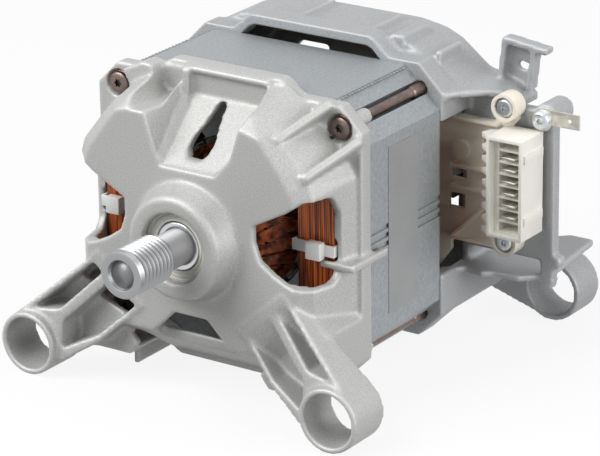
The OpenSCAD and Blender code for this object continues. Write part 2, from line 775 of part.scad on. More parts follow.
slot_shape = [[15.5, 30.2], [20.6, 26], [24, 27], [slot_in, pole_half], [slot_out, pole_half],
    [slot_out, slot_half], [20, slot_half + 2.2]];
core_quarter = [[corner_sum - core_h / 2, core_h / 2], [core_w / 2, corner_sum - core_w / 2]];
notch_run = 12;
notch_side = 0.15;

module stator_core() {
    color(steel_grey)
    difference() {
        along_y(core_front, core_back)
            difference() {
                polygon(from_quarter(core_quarter));
                circle(r = core_bore_r, $fn = 96);
                for (sx = [-1, 1], sz = [-1, 1])
                    scale([sx, sz])
                        polygon(slot_shape);
                // Bolt notches open through the cut corners
                for (sx = [-1, 1], sz = [-1, 1])
                    translate([sx * bolt_x, sz * bolt_z]) {
                        circle(r = notch_w / 2);
                        rotate(45 * sx * sz)
                            translate([sx > 0 ? 0 : -notch_run, -notch_w / 2 + notch_side])
                                square([notch_run, notch_w - 2 * notch_side]);
                    }
                // Grooves in both sides
                for (sx = [-1, 1], k = [-1:1])
                    translate([sx * core_w / 2, k * groove_pitch])
                        square([2 * groove_d, groove_pitch * 0.55], center = true);
            }
        // Weld channels on the top
        for (sx = [-1, 1])
            block(sx * 47.5 - 1.1, sx * 47.5 + 1.1, core_front - cut, core_back + cut, core_h / 2 - 0.7,
                core_h / 2 + cut);
    }
}

module side_label() {
    color("#a7a9ad")
    block(core_w / 2 + seat, core_w / 2 + 0.22, core_front + 13.8, core_front + 35.3, -34, 36);
}

// Rounded loop in the Y and Z plane
module coil_loop(y0, y1, z, r) {
    hull_pts = [[y0 + r, z - r], [y1 - r, z - r], [y0 + r, r - z], [y1 - r, r - z]];
    polygon([[y0 + r, -z], [y1 - r, -z], [y1, r - z], [y1, z - r], [y1 - r, z], [y0 + r, z], [y0, z - r],
        [y0, r - z]]);
    for (p = hull_pts)
        translate(p)
            circle(r = r);
}

coil_y0 = core_front - coil_over;
coil_y1 = core_back + coil_over_rear;
coil_z = slot_half - 3;
coil_x0 = slot_in + 0.2;
coil_x1 = slot_out - 1.3;
coil_hole = 3;
tie_t = 1.1;
tie_w = 4.6;
tie_x1 = coil_x1 + 0.4;

module field_coil(side) {
    color(copper)
    scale([side, 1, 1])
        along_x(coil_x0, coil_x1)
            difference() {
                coil_loop(coil_y0, coil_y1, coil_z, coil_round);
                translate([core_front - coil_hole, -pole_half - 0.9])
                    square([core_len + 2 * coil_hole, 2 * pole_half + 1.8]);
            }
}

module field_coil_left() { field_coil(-1); }
module field_coil_right() { field_coil(1); }

loop_steps = 24;
coil_turns = floor((coil_x1 - coil_x0 - 2 * coil_wire_r) / coil_pitch);
wire_pitch = (coil_x1 - coil_x0 - 2 * coil_wire_r) / coil_turns;
wire_out = coil_wire_r + 0.25;
// Place on the rounded loop of the outer layer at one of its 24 steps
function loop_point(k) =
    let(c = floor(k / 6), j = k % 6, a = 180 + 90 * c + 22.5 * min(j, 4),
        yc = (c == 0 || c == 3) ? coil_y0 + coil_round : coil_y1 - coil_round,
        zc = (c < 2) ? coil_round - coil_z : coil_z - coil_round,
        r = coil_round + wire_out,
        half = (c == 0 || c == 2) ? (coil_y1 - coil_y0) / 2 - coil_round : coil_z - coil_round)
    [yc + r * cos(a), zc + r * sin(a)] + (j == 5 ? half * [-sin(a), cos(a)] : [0, 0]);
winding_path = [for (i = [0:coil_turns * loop_steps])
    let(p = loop_point((i + 17) % loop_steps))
    [coil_x0 + coil_wire_r + wire_pitch * i / loop_steps, p[0], p[1]]];

// Tube of six sides along a path, with flat ends
function tube_dir(path, i) = unit(path[min(i + 1, len(path) - 1)] - path[max(i - 1, 0)]);
function tube_points(path, r, up, n) = [for (i = [0:len(path) - 1])
    let(t = tube_dir(path, i), a = unit(cross(t, up)), b = cross(a, t))
    for (j = [0:n - 1]) path[i] + r * (cos(360 * j / n) * a + sin(360 * j / n) * b)];
function tube_faces(m, n) = concat(
    [for (i = [0:m - 2], j = [0:n - 1]) [i * n + j, (i + 1) * n + j, (i + 1) * n + (j + 1) % n]],
    [for (i = [0:m - 2], j = [0:n - 1]) [i * n + j, (i + 1) * n + (j + 1) % n, i * n + (j + 1) % n]],
    [for (j = [1:n - 2]) [0, j, j + 1]],
    [for (j = [1:n - 2]) [(m - 1) * n, (m - 1) * n + j + 1, (m - 1) * n + j]]);
module tube(path, r, up) {
    polyhedron(points = tube_points(path, r, up, 6), faces = tube_faces(len(path), 6));
}

// Least gap of a wound tube to its own neighbouring turns, on its points
function least_gap(path, r, steps) = min([for (i = [0:len(path) - 1])
    for (j = [i + floor(steps / 2):1:min(i + floor(steps * 3 / 2), len(path) - 1)])
        norm(path[i] - path[j])]) - 2 * r;
echo(field_winding_gap = least_gap(winding_path, coil_wire_r, loop_steps));

module field_winding_left() {
    color(copper)
    mirror([1, 0, 0])
        tube(winding_path, coil_wire_r, [1, 0, 0]);
}
module field_winding_right() {
    color(copper)
    tube(winding_path, coil_wire_r, [1, 0, 0]);
}

// Plastic former round one pole: a sleeve through the slots and guards at both ends
former_t = 0.5;
module coil_former() {
    fy0 = core_front - 1.1;
    fy1 = core_back + 1.1;
    difference() {
        union() {
            block(slot_in, slot_out - 0.2, fy0, fy1, -pole_half - former_t - 0.1,
                pole_half + former_t + 0.1);
            block(slot_in - 1.6, slot_in - 0.3, coil_y0 + 3, fy0 + 1, -24, 24);
            block(slot_in - 1.6, slot_in - 0.3, fy1 - 1, coil_y1 - 3, -24, 24);
            block(slot_in - 1.6, slot_in + 0.1, fy0, core_front - 0.1, -24, 24);
            block(slot_in - 1.6, slot_in + 0.1, core_back + 0.1, fy1, -24, 24);
        }
        block(slot_in - 5, slot_out + 1, core_front - 0.1, core_back + 0.1, -pole_half - 0.1,
            pole_half + 0.1);
        block(slot_in - 5, slot_in, core_front - 0.1, core_back + 0.1, -40, 40);
        block(slot_in - 5, slot_in, coil_y0 - 1, fy0 - 0.1, -4, 4);
    }
}
module coil_former_left() {
    color(insulation)
    mirror([1, 0, 0])
        coil_former();
}
module coil_former_right() {
    color(insulation)
    coil_former();
}

module cable_tie() {
    tx0 = coil_x0 - 0.3;
    tx1 = tie_x1;
    ty0 = coil_y0 - wire_out - coil_wire_r - 0.3;
    ty1 = core_front - coil_hole + 0.15;
    translate([0, 0, 0.5 - tie_w / 2])
        linear_extrude(tie_w)
            difference() {
                translate([tx0 - tie_t, ty0 - tie_t])
                    square([tx1 - tx0 + 2 * tie_t, ty1 - ty0 + 2 * tie_t]);
                translate([tx0, ty0])
                    square([tx1 - tx0, ty1 - ty0]);
            }
    block(coil_x0 + 7.2, coil_x0 + 13.8, ty0 - tie_t - 3.4, ty0 - tie_t + 0.4, -3, 4);
}
module cable_tie_left() {
    color("#e4e5e2")
    mirror([1, 0, 0])
        cable_tie();
}
module cable_tie_right() {
    color("#e4e5e2")
    cable_tie();
}

module tie_bolts() {
    seat_y = flange_y + 2.5;
    color(bronze)
    four_bolts()
        difference() {
            rotate([-90, 0, 0])
                rotate_extrude($fn = 36)
                    polygon([[0, seat_y - bolt_head_h], [bolt_head_r - 1.6, seat_y - bolt_head_h],
                        [bolt_head_r - 0.6, seat_y - bolt_head_h + 0.5], [bolt_head_r - 0.4, seat_y - 0.9],
                        [bolt_head_r, seat_y - 0.8], [bolt_head_r, seat_y], [bolt_r, seat_y],
                        [bolt_r, core_back - 8], [bolt_thread_r, core_back - 7.4],
                        [bolt_thread_r, core_back + bolt_grip - 0.5], [0, core_back + bolt_grip - 0.5]]);
            six_lobe(seat_y - bolt_head_h, 1.7, 2);
        }
}

// Six-lobed recess that opens towards the front at y
module six_lobe(y, r, depth) {
    for (k = [0:2])
        translate([0, y - 0.1, 0])
            rotate([-90, 0, 0])
                rotate(60 * k)
                    translate([-r, -r * 0.3, 0])
                        cube([2 * r, r * 0.6, depth]);
}

// Bearings

fb_y = core_front - 42;
fb_pitch_r = (fb_bore_r + fb_out_r) / 2;
rb_pitch_r = (rb_bore_r + rb_out_r) / 2;
ring_wall = 2.5;
race_gap = 0.12;

module groove(pitch_r, y) {
    translate([0, y, 0])
        rotate([-90, 0, 0])
            rotate_extrude($fn = 96)
                translate([pitch_r, 0])
                    circle(r = ball_r + race_gap, $fn = 32);
}
module inner_ring(bore_r, pitch_r, y, w) {
    difference() {
        ring_y(bore_r + ring_wall, bore_r, y, y + w);
        groove(pitch_r, y + w / 2);
    }
}
module outer_ring(out_r, pitch_r, y, w) {
    difference() {
        ring_y(out_r, out_r - ring_wall, y, y + w);
        groove(pitch_r, y + w / 2);
    }
}
module ball_set(pitch_r, y) {
    for (k = [0:ball_n - 1])
        rotate([0, 360 * k / ball_n, 0])
            translate([pitch_r, y, 0])
                sphere(r = ball_r, $fn = 32);
}
module cage(pitch_r, y) {
    difference() {
        ring_y(pitch_r + 1.1, pitch_r - 1.1, y - ball_r - 0.7, y + ball_r + 0.7);
        for (k = [0:ball_n - 1])
            rotate([0, 360 * k / ball_n, 0])
                translate([pitch_r, y, 0])
                    rotate([0, 90, 0])
                        cylinder(r = ball_r + 0.1, h = 6, center = true, $fn = 32);
    }
}
module seals(bore_r, out_r, y, w) {
    for (y0 = [y + 0.3, y + w - 1.2])
        ring_y(out_r - ring_wall - seat, bore_r + ring_wall + run_gap, y0, y0 + 0.9);
}

module front_bearing_outer_ring() { color(bright_steel) outer_ring(fb_out_r, fb_pitch_r, fb_y, fb_w); }
module front_bearing_inner_ring() { color(bright_steel) inner_ring(fb_bore_r, fb_pitch_r, fb_y, fb_w); }
module rear_bearing_outer_ring() { color(bright_steel) outer_ring(rb_out_r, rb_pitch_r, rb_y, rb_w); }
module rear_bearing_inner_ring() { color(bright_steel) inner_ring(rb_bore_r, rb_pitch_r, rb_y, rb_w); }
module front_bearing_seals() { color(cream) seals(fb_bore_r, fb_out_r, fb_y, fb_w); }
module rear_bearing_seals() { color(cream) seals(rb_bore_r, rb_out_r, rb_y, rb_w); }
module front_bearing_balls() { color(bright_steel) ball_set(fb_pitch_r, fb_y + fb_w / 2); }
module rear_bearing_balls() { color(bright_steel) ball_set(rb_pitch_r, rb_y + rb_w / 2); }
module front_bearing_cage() { color(steel_grey) cage(fb_pitch_r, fb_y + fb_w / 2); }
module rear_bearing_cage() { color(steel_grey) cage(rb_pitch_r, rb_y + rb_w / 2); }

module wave_washer() {
    color(bright_steel)
    ring_y(rb_out_r - 0.3, rb_out_r - 2.6, rb_end + 0.05, rb_end + washer_t - 0.05);
}

// Rotor

comm_y = bay_y - 2;
shaft_end = rb_end + 12;
nose_y = -belt_pitch * groove_n / 2 - pulley_rim + 1.6;
pulley_back = belt_pitch * groove_n / 2 + collar_len;

module rotor_shaft() {
    color(bright_steel)
    turned([[0, nose_y], [nose_r, nose_y], [nose_r, pulley_back + seat], [fb_bore_r - seat,
        pulley_back + seat],
        [fb_bore_r - seat, fb_y + fb_w], [shaft_r, fb_y + fb_w + seat], [shaft_r, rb_y - 2],
        [rb_bore_r + 1.6, rb_y - 2], [rb_bore_r + 1.6, rb_y - seat], [rb_bore_r - seat, rb_y - seat],
        [rb_bore_r - seat, rb_end + 2], [4, rb_end + 2], [4, shaft_end], [0, shaft_end]]);
}

// V grooves at the pitch of the belt, from front to back
function belt_grooves() = [for (k = [0:groove_n - 1])
    let(y = (k - groove_n / 2) * belt_pitch)
    each [[pulley_r, y + 0.25], [pulley_r - belt_groove_d, y + belt_pitch / 2 - 0.2],
        [pulley_r - belt_groove_d, y + belt_pitch / 2 + 0.2], [pulley_r, y + belt_pitch - 0.25]]];

module drive_pulley() {
    front = -belt_pitch * groove_n / 2 - pulley_rim;
    color(bright_steel)
    turned(concat([[nose_r + seat, nose_y + 1], [nose_r + seat + 0.1, nose_y], [nose_r + 0.9, front],
        [pulley_r - 0.6, front],
        [pulley_r, front + 0.6]],
        belt_grooves(),
        [[pulley_r - 1, pulley_back - collar_len + 0.4], [pulley_r - 1.7, pulley_back - collar_len + 0.8],
        [pulley_r - 1.7, pulley_back], [nose_r + seat, pulley_back]]));
}

arm_r = core_bore_r - air_gap;
module armature_core() {
    color(steel_grey)
    along_y(core_front, core_back)
        difference() {
            circle(r = arm_r, $fn = 96);
            circle(r = shaft_r + seat, $fn = 64);
            for (k = [0:arm_slots - 1])
                rotate(360 * k / arm_slots) {
                    translate([arm_r - arm_slot_d, -arm_slot_w / 2])
                        square([arm_slot_d - 1.6, arm_slot_w]);
                    translate([arm_r - 2, -0.9])
                        square([3, 1.8]);
                }
        }
}

module slot_wedges() {
    color(insulation)
    for (k = [0:arm_slots - 1])
        rotate([0, 360 * k / arm_slots, 0])
            block(arm_r - 2.9, arm_r - 1.75, core_front - 1.2, core_back + 1.2, -arm_slot_w / 2 + 0.1,
                arm_slot_w / 2 - 0.1);
}

ins_t = 1.5;
module armature_insulators() {
    color(insulation)
    for (y0 = [core_front - ins_t - seat, core_back + seat])
        along_y(y0, y0 + ins_t)
            difference() {
                circle(r = arm_r - 0.4, $fn = 96);
                circle(r = shaft_r + seat, $fn = 64);
                for (k = [0:arm_slots - 1])
                    rotate(360 * k / arm_slots)
                        translate([arm_r - 3, -arm_slot_w / 2])
                            square([4, arm_slot_w]);
            }
}

// Domed winding head that leaves the insulator at y and bulges away by over
module winding_head(y, over) {
    turned([[shaft_r + 1, y], [arm_r - 3.2, y], [arm_r - 1.6, y + over * 0.25], [arm_r - 2, y + over * 0.5],
        [arm_r - 5, y + over * 0.75], [arm_r - 11, y + over * 0.95], [arm_r - 18, y + over],
        [shaft_r + 2.5, y + over * 0.9], [shaft_r + 0.4, y + over * 0.7]]);
}
module armature_winding_front() {
    color(copper)
    mirror([0, 1, 0])
        winding_head(-core_front + ins_t + 2 * seat, head_front - ins_t);
}
module armature_winding_rear() {
    color(copper)
    winding_head(core_back + ins_t + 2 * seat, head_rear - ins_t);
}

comm_in = comm_r - 4;
module commutator_hub() {
    color("#4b3a2e")
    ring_y(comm_in, shaft_r + seat, comm_y - 1, comm_y + comm_len - 0.5);
}
module commutator_bars() {
    color("#b5713f")
    for (k = [0:arm_slots - 1])
        rotate([0, 360 * (k + 0.5) / arm_slots, 0])
            rotate([-90, 0, 0])
                rotate([0, 0, -6.6])
                    rotate_extrude(angle = 13.2, $fn = 96)
                        polygon([[comm_in + seat, comm_y], [comm_r, comm_y], [comm_r, comm_y + comm_len],
                            [comm_in + seat, comm_y + comm_len]]);
}

module tacho_magnet() {
    color("#3a3a3d")
    ring_y(9, 4 + seat, rb_end + 3.5, shaft_end - 0.5);
}
module tacho_coil() {
    color(copper)
    ring_y(15, 11, cap_y + 1, cap_y + 9);
}
module tacho_cap() {
    y1 = cap_y + 14;
    color(cream)
    turned([[9.6, cap_y], [rb_out_r + 1.4, cap_y], [rb_out_r + 1.4, y1 - 2], [rb_out_r - 0.6, y1], [0, y1],
        [0, y1 - 1.6], [rb_out_r - 2, y1 - 1.6], [rb_out_r - 2, y1 - 4.9], [15.04, y1 - 4.9], [15.04,
        cap_y + 0.96],
        [10.96, cap_y + 0.96], [10.96, y1 - 4.9], [9.6, y1 - 4.9]]);
}

// Brush gear

holder_y = bay_y - 0.2;
brush_y = holder_y + 1.5 + brush_gap;
holder_wall = 1.5;
holder_x0 = comm_r + 2.6;
holder_x1 = half_w - 6.3;
brush_x0 = comm_r + run_gap;
channel_end = holder_x1 - 1.5;

module brush_holder() {
    difference() {
        block(holder_x0, holder_x1, holder_y, holder_y + brush_w + 2 * brush_gap + 2 * holder_wall,
            -brush_t / 2 - brush_gap - holder_wall, brush_t / 2 + brush_gap + holder_wall);
        block(holder_x0 - cut, channel_end, holder_y + holder_wall,
            holder_y + holder_wall + brush_w + 2 * brush_gap,
            -brush_t / 2 - brush_gap, brush_t / 2 + brush_gap);
        // Slot for the brush's lead
        block(holder_x0 + 4, channel_end - 3, holder_y + holder_wall + cut, holder_y + brush_w + 9,
            -0.8, 0.8);
    }
}
module carbon_brush() {
    difference() {
        block(comm_r - 3, brush_x0 + brush_len, brush_y, brush_y + brush_w, -brush_t / 2, brush_t / 2);
        rod_y(0, 0, brush_x0, brush_y - cut, brush_y + brush_w + cut, $fn = 96);
    }
}
spring_x0 = brush_x0 + brush_len + 0.1;
spring_x1 = channel_end - 0.1;
spring_r = brush_t / 2 - spring_wire_r - 0.1;
spring_steps = 8;
spring_count = spring_turns * spring_steps;
spring_path = [for (i = [0:spring_count])
    [spring_x0 + spring_wire_r + (spring_x1 - spring_x0 - 2 * spring_wire_r) * i / spring_count,
     brush_y + brush_w / 2 + spring_r * cos(360 * i / spring_steps),
     spring_r * sin(360 * i / spring_steps)]];
echo(brush_spring_gap = least_gap(spring_path, spring_wire_r, spring_steps));

module brush_holder_left() {
    color("#5a5048")
    mirror([1, 0, 0])
        brush_holder();
}
module brush_holder_right() { color("#5a5048") brush_holder(); }
module carbon_brush_left() {
    color("#2f2f31")
    mirror([1, 0, 0])
        carbon_brush();
}
module carbon_brush_right() { color("#2f2f31") carbon_brush(); }
module brush_spring_left() {
    color(bright_steel)
    mirror([1, 0, 0])
        tube(spring_path, spring_wire_r, [1, 0, 0]);
}
module brush_spring_right() { color(bright_steel) tube(spring_path, spring_wire_r, [1, 0, 0]); }

// Carrier, connector and fasteners

carrier_y = bay_y - 0.2 - carrier_t;
carrier_back = bay_y - 0.2;
boss_y = bay_y - 8;
module carrier_outline() {
    difference() {
        union() {
            polygon([[8.3 - half_w, -34], [-40, -48], [40, -48], [half_w - 6.3, -26], [half_w - 6.3, -20],
                [83, -20], [83, 33], [half_w - 6.3, 33], [40, 48], [-40, 48], [8.3 - half_w, 34]]);
            translate(boss_a)
                circle(r = boss_r);
            translate(boss_b)
                circle(r = boss_r);
            polygon([[76, 30], [83, 30], [88, 36], [80, 44]]);
        }
        circle(r = 23, $fn = 72);
        for (p = [boss_a, boss_b])
            translate(p)
                circle(r = 1.3);
        // Slot, window and wire holes beside the connector
        translate([56, 5.5])
            square([7.4, 4.1]);
        translate([54.9, -7.3])
            square([7.8, 6.2]);
        for (z = [-12:6:27])
            translate([72, z])
                circle(r = 0.8);
    }
}
module brush_carrier() {
    color(cream)
    difference() {
        union() {
            along_y(carrier_y, carrier_back)
                carrier_outline();
            rod_y(boss_a[0], boss_a[1], boss_r, boss_y, carrier_back);
            rod_y(boss_b[0], boss_b[1], boss_r, boss_y, carrier_back);
            // Ribs and the round rest on the visible side
            block(57, 79.5, carrier_y - 3, carrier_y + 0.2, 11.2, 12.4);
            block(57, 79.5, carrier_y - 3, carrier_y + 0.2, 2.2, 3.4);
            block(57, 79.5, carrier_y - 3.5, carrier_y + 0.2, 31.8, 33);
            block(57, 79.5, carrier_y - 3.5, carrier_y + 0.2, -20, -18.8);
            rod_y(61.5, 18.5, 4, carrier_y - 2.2, carrier_y + 0.2);
            hull() {
                block(58, 59, carrier_y - 3, carrier_y, -19, -18);
                block(78, 79, carrier_y - 3, carrier_y, 0, 1);
            }
        }
        for (p = [boss_a, boss_b]) {
            rod_y(p[0], p[1], 4.4, boss_y - cut, boss_y + 2.6);
            rod_y(p[0], p[1], 1.3, boss_y - cut, carrier_back + cut);
        }
    }
}

conn_y0 = carrier_y - conn_d + 1.8;
way_n = floor((conn_h - 2.3) / way_pitch);
module connector_block() {
    wall = 1.4;
    z1 = conn_z + conn_h;
    color("#efece1")
    difference() {
        union() {
            block(conn_x, conn_x + conn_w, conn_y0, carrier_y, conn_z, z1);
            // Pointed teeth beside the ways
            for (k = [0:way_n])
                translate([conn_x - 4.6, conn_y0 + 0.6, conn_z + 0.15 + k * way_pitch])
                    linear_extrude(2)
                        polygon([[0, 3.6], [5, 0], [5, 10], [1.2, 8]]);
            // Latch bands round the right side
            for (z = [z1 - 9.5, conn_z + 6.5])
                block(conn_x + 4, conn_x + conn_w + 0.8, conn_y0 + 1.5, carrier_y - 1, z, z + 3.6);
        }
        // One pocket for the plug, with low walls between the ways
        block(conn_x + wall, conn_x + conn_w - wall, conn_y0 - cut, conn_y0 + 4, conn_z + wall, z1 - wall);
        for (k = [0:way_n - 1])
            block(conn_x + 3.6, conn_x + conn_w - 2.4, conn_y0 - cut, conn_y0 + 12,
                conn_z + conn_h / 2 + (k - way_n / 2) * way_pitch + 0.5,
                conn_z + conn_h / 2 + (k + 1 - way_n / 2) * way_pitch - 0.5);
    }
}
module connector_blades() {
    color("#b9b4a3")
    for (k = [1:way_n - 2])
        translate([conn_x + conn_w / 2 - 2.4, conn_y0 + 2,
            conn_z + conn_h / 2 + (k + 0.5 - way_n / 2) * way_pitch - 0.4])
            cube([6.3, 10, 0.8]);
}

// Pan-head screw with a washer face that points to the front
module zinc_screw(p, y, r, len) {
    translate([p[0], 0, p[1]])
        difference() {
            rotate([-90, 0, 0])
                rotate_extrude($fn = 36)
                    polygon([[0, y - 2.4], [r - 1.2, y - 2.4], [r - 0.4, y - 1.6], [r - 0.4, y - 0.6],
                        [r, y - 0.6], [r, y],
                        [1.25, y], [1.25, y + len], [0, y + len]]);
            six_lobe(y - 2.4, 1.3, 1.5);
        }
}
module carrier_screws() {
    color(bright_steel) {
        zinc_screw(boss_a, boss_y + 2.6, 4.2, 8.5);
        zinc_screw(boss_b, boss_y + 2.6, 4.2, 8.5);
    }
}
tab_y = bay_y - 0.6 - tab_t;
module earth_tab() {
    color("#c9c8c2")
    difference() {
        union() {
            rod_y(earth_at[0], earth_at[1], 4.6, tab_y, tab_y + tab_t);
            block(earth_at[0], 115, tab_y, tab_y + tab_t, earth_at[1] + 1.6 - tab_w / 2,
                earth_at[1] + 1.6 + tab_w / 2);
        }
        rod_y(earth_at[0], earth_at[1], 1.4, tab_y - cut, tab_y + tab_t + cut);
        rod_y(110.5, earth_at[1] + 1.6, 0.9, tab_y - cut, tab_y + tab_t + cut);
    }
}
module earth_screw() {
    color(bright_steel)
    zinc_screw(earth_at, tab_y, 4.4, 9);
}

front_end_shield();
rear_end_shield();
stator_core();
side_label();
field_coil_left();
field_coil_right();
field_winding_left();
field_winding_right();
coil_former_left();
coil_former_right();
cable_tie_left();
cable_tie_right();
tie_bolts();
front_bearing_outer_ring();
front_bearing_seals();
rear_bearing_outer_ring();
rear_bearing_seals();
wave_washer();
brush_carrier();
brush_holder_left();
brush_holder_right();
connector_block();
connector_blades();
carrier_screws();
earth_tab();
earth_screw();
tacho_coil();
tacho_cap();
rotor_shaft();
drive_pulley();
armature_core();
slot_wedges();
armature_insulators();
armature_winding_front();
armature_winding_rear();
commutator_hub();
commutator_bars();
tacho_magnet();
front_bearing_inner_ring();
rear_bearing_inner_ring();
front_bearing_balls();
front_bearing_cage();
rear_bearing_balls();
rear_bearing_cage();
carbon_brush_left();
carbon_brush_right();
brush_spring_left();
brush_spring_right();
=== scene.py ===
import math
import json

import bmesh
import bpy
from mathutils import Matrix, Vector


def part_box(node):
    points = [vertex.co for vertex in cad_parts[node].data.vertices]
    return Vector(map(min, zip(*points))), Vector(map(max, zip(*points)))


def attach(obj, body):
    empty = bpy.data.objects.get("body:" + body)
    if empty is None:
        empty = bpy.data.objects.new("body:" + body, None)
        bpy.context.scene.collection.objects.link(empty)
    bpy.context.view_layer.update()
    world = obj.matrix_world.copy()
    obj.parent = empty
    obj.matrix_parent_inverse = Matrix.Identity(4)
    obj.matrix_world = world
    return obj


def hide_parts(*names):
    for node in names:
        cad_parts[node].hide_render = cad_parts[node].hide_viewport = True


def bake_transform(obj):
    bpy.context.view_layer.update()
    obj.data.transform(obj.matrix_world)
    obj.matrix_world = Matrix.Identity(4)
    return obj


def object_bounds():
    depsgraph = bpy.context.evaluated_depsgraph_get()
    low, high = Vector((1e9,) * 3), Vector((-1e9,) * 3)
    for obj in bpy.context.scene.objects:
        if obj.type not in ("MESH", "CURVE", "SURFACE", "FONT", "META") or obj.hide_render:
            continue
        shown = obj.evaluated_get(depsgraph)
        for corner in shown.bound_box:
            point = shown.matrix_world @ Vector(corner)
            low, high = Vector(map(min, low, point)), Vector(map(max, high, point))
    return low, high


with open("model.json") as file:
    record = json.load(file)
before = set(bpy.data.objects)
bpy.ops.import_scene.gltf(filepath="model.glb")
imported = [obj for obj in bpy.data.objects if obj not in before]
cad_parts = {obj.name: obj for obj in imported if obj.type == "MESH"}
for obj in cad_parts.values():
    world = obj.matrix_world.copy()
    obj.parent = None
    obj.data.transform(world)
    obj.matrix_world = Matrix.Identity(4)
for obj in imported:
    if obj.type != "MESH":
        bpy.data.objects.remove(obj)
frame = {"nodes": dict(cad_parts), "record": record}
CAD_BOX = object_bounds()

bl_info = {
    "name": "Washing machine motor",
    "version": (1, 0, 0),
    "blender": (4, 5, 0),
    "location": "View3D > Sidebar > Motor",
    "description": "Dresses the packed model of a belt-drive washing machine motor",
    "category": "Object",
}

MM = 0.001
SIDES = (("left", -1), ("right", 1))
MERGE = 0.002 * MM
LATHE_PITCH = 0.18 * MM
TOOL_MARK = 0.004 * MM
SHEET_PITCH = 0.65 * MM
PULLEY_PITCH = 2.34


class CastingSettings(bpy.types.PropertyGroup):
    front_colour: bpy.props.FloatVectorProperty(
        name="Front casting", description="Colour of the front end shield's raw casting",
        default=(0.49, 0.495, 0.48), subtype="COLOR")
    rear_colour: bpy.props.FloatVectorProperty(
        name="Rear casting", description="Colour of the rear end shield's raw casting",
        default=(0.40, 0.41, 0.42), subtype="COLOR")
    voxel: bpy.props.FloatProperty(
        name="Cell", description="Size of the cells that round a casting's edges",
        default=0.9 * MM, unit="LENGTH")
    rounding: bpy.props.IntProperty(
        name="Rounding", description="Passes that round a casting's edges", default=3)
    grain: bpy.props.FloatProperty(
        name="Grain", description="Height of the casting's grain", default=0.03 * MM, unit="LENGTH")


class WindingSettings(bpy.types.PropertyGroup):
    wire_radius: bpy.props.FloatProperty(
        name="Field wire", description="Radius of the field coils' wire", default=0.43 * MM, unit="LENGTH")
    head_wire_radius: bpy.props.FloatProperty(
        name="Armature wire", description="Radius of the armature's wire", default=0.38 * MM, unit="LENGTH")
    wander: bpy.props.FloatProperty(
        name="Wander", description="How far a wire strays from its layer", default=0.22 * MM, unit="LENGTH")
    strands: bpy.props.IntProperty(
        name="Strands", description="Wires that leave each armature slot", default=7)


class StageSettings(bpy.types.PropertyGroup):
    lens: bpy.props.FloatProperty(
        name="Lens", description="Focal length that matches the photograph",
        default=207.23, subtype="DISTANCE_CAMERA")
    key_power: bpy.props.FloatProperty(
        name="Key light", description="Power of the big soft light", default=22.0, subtype="POWER")
    fill_power: bpy.props.FloatProperty(
        name="Fill light", description="Power of the side light", default=15.5, subtype="POWER")
    floor_glow: bpy.props.FloatProperty(
        name="Floor glow", description="Share of plain white in the floor as the camera sees it",
        default=0.88, subtype="FACTOR")


def box_mm(node):
    """The two corners of a node's box, in millimetres."""
    low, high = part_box(node)
    return Vector(low) / MM, Vector(high) / MM


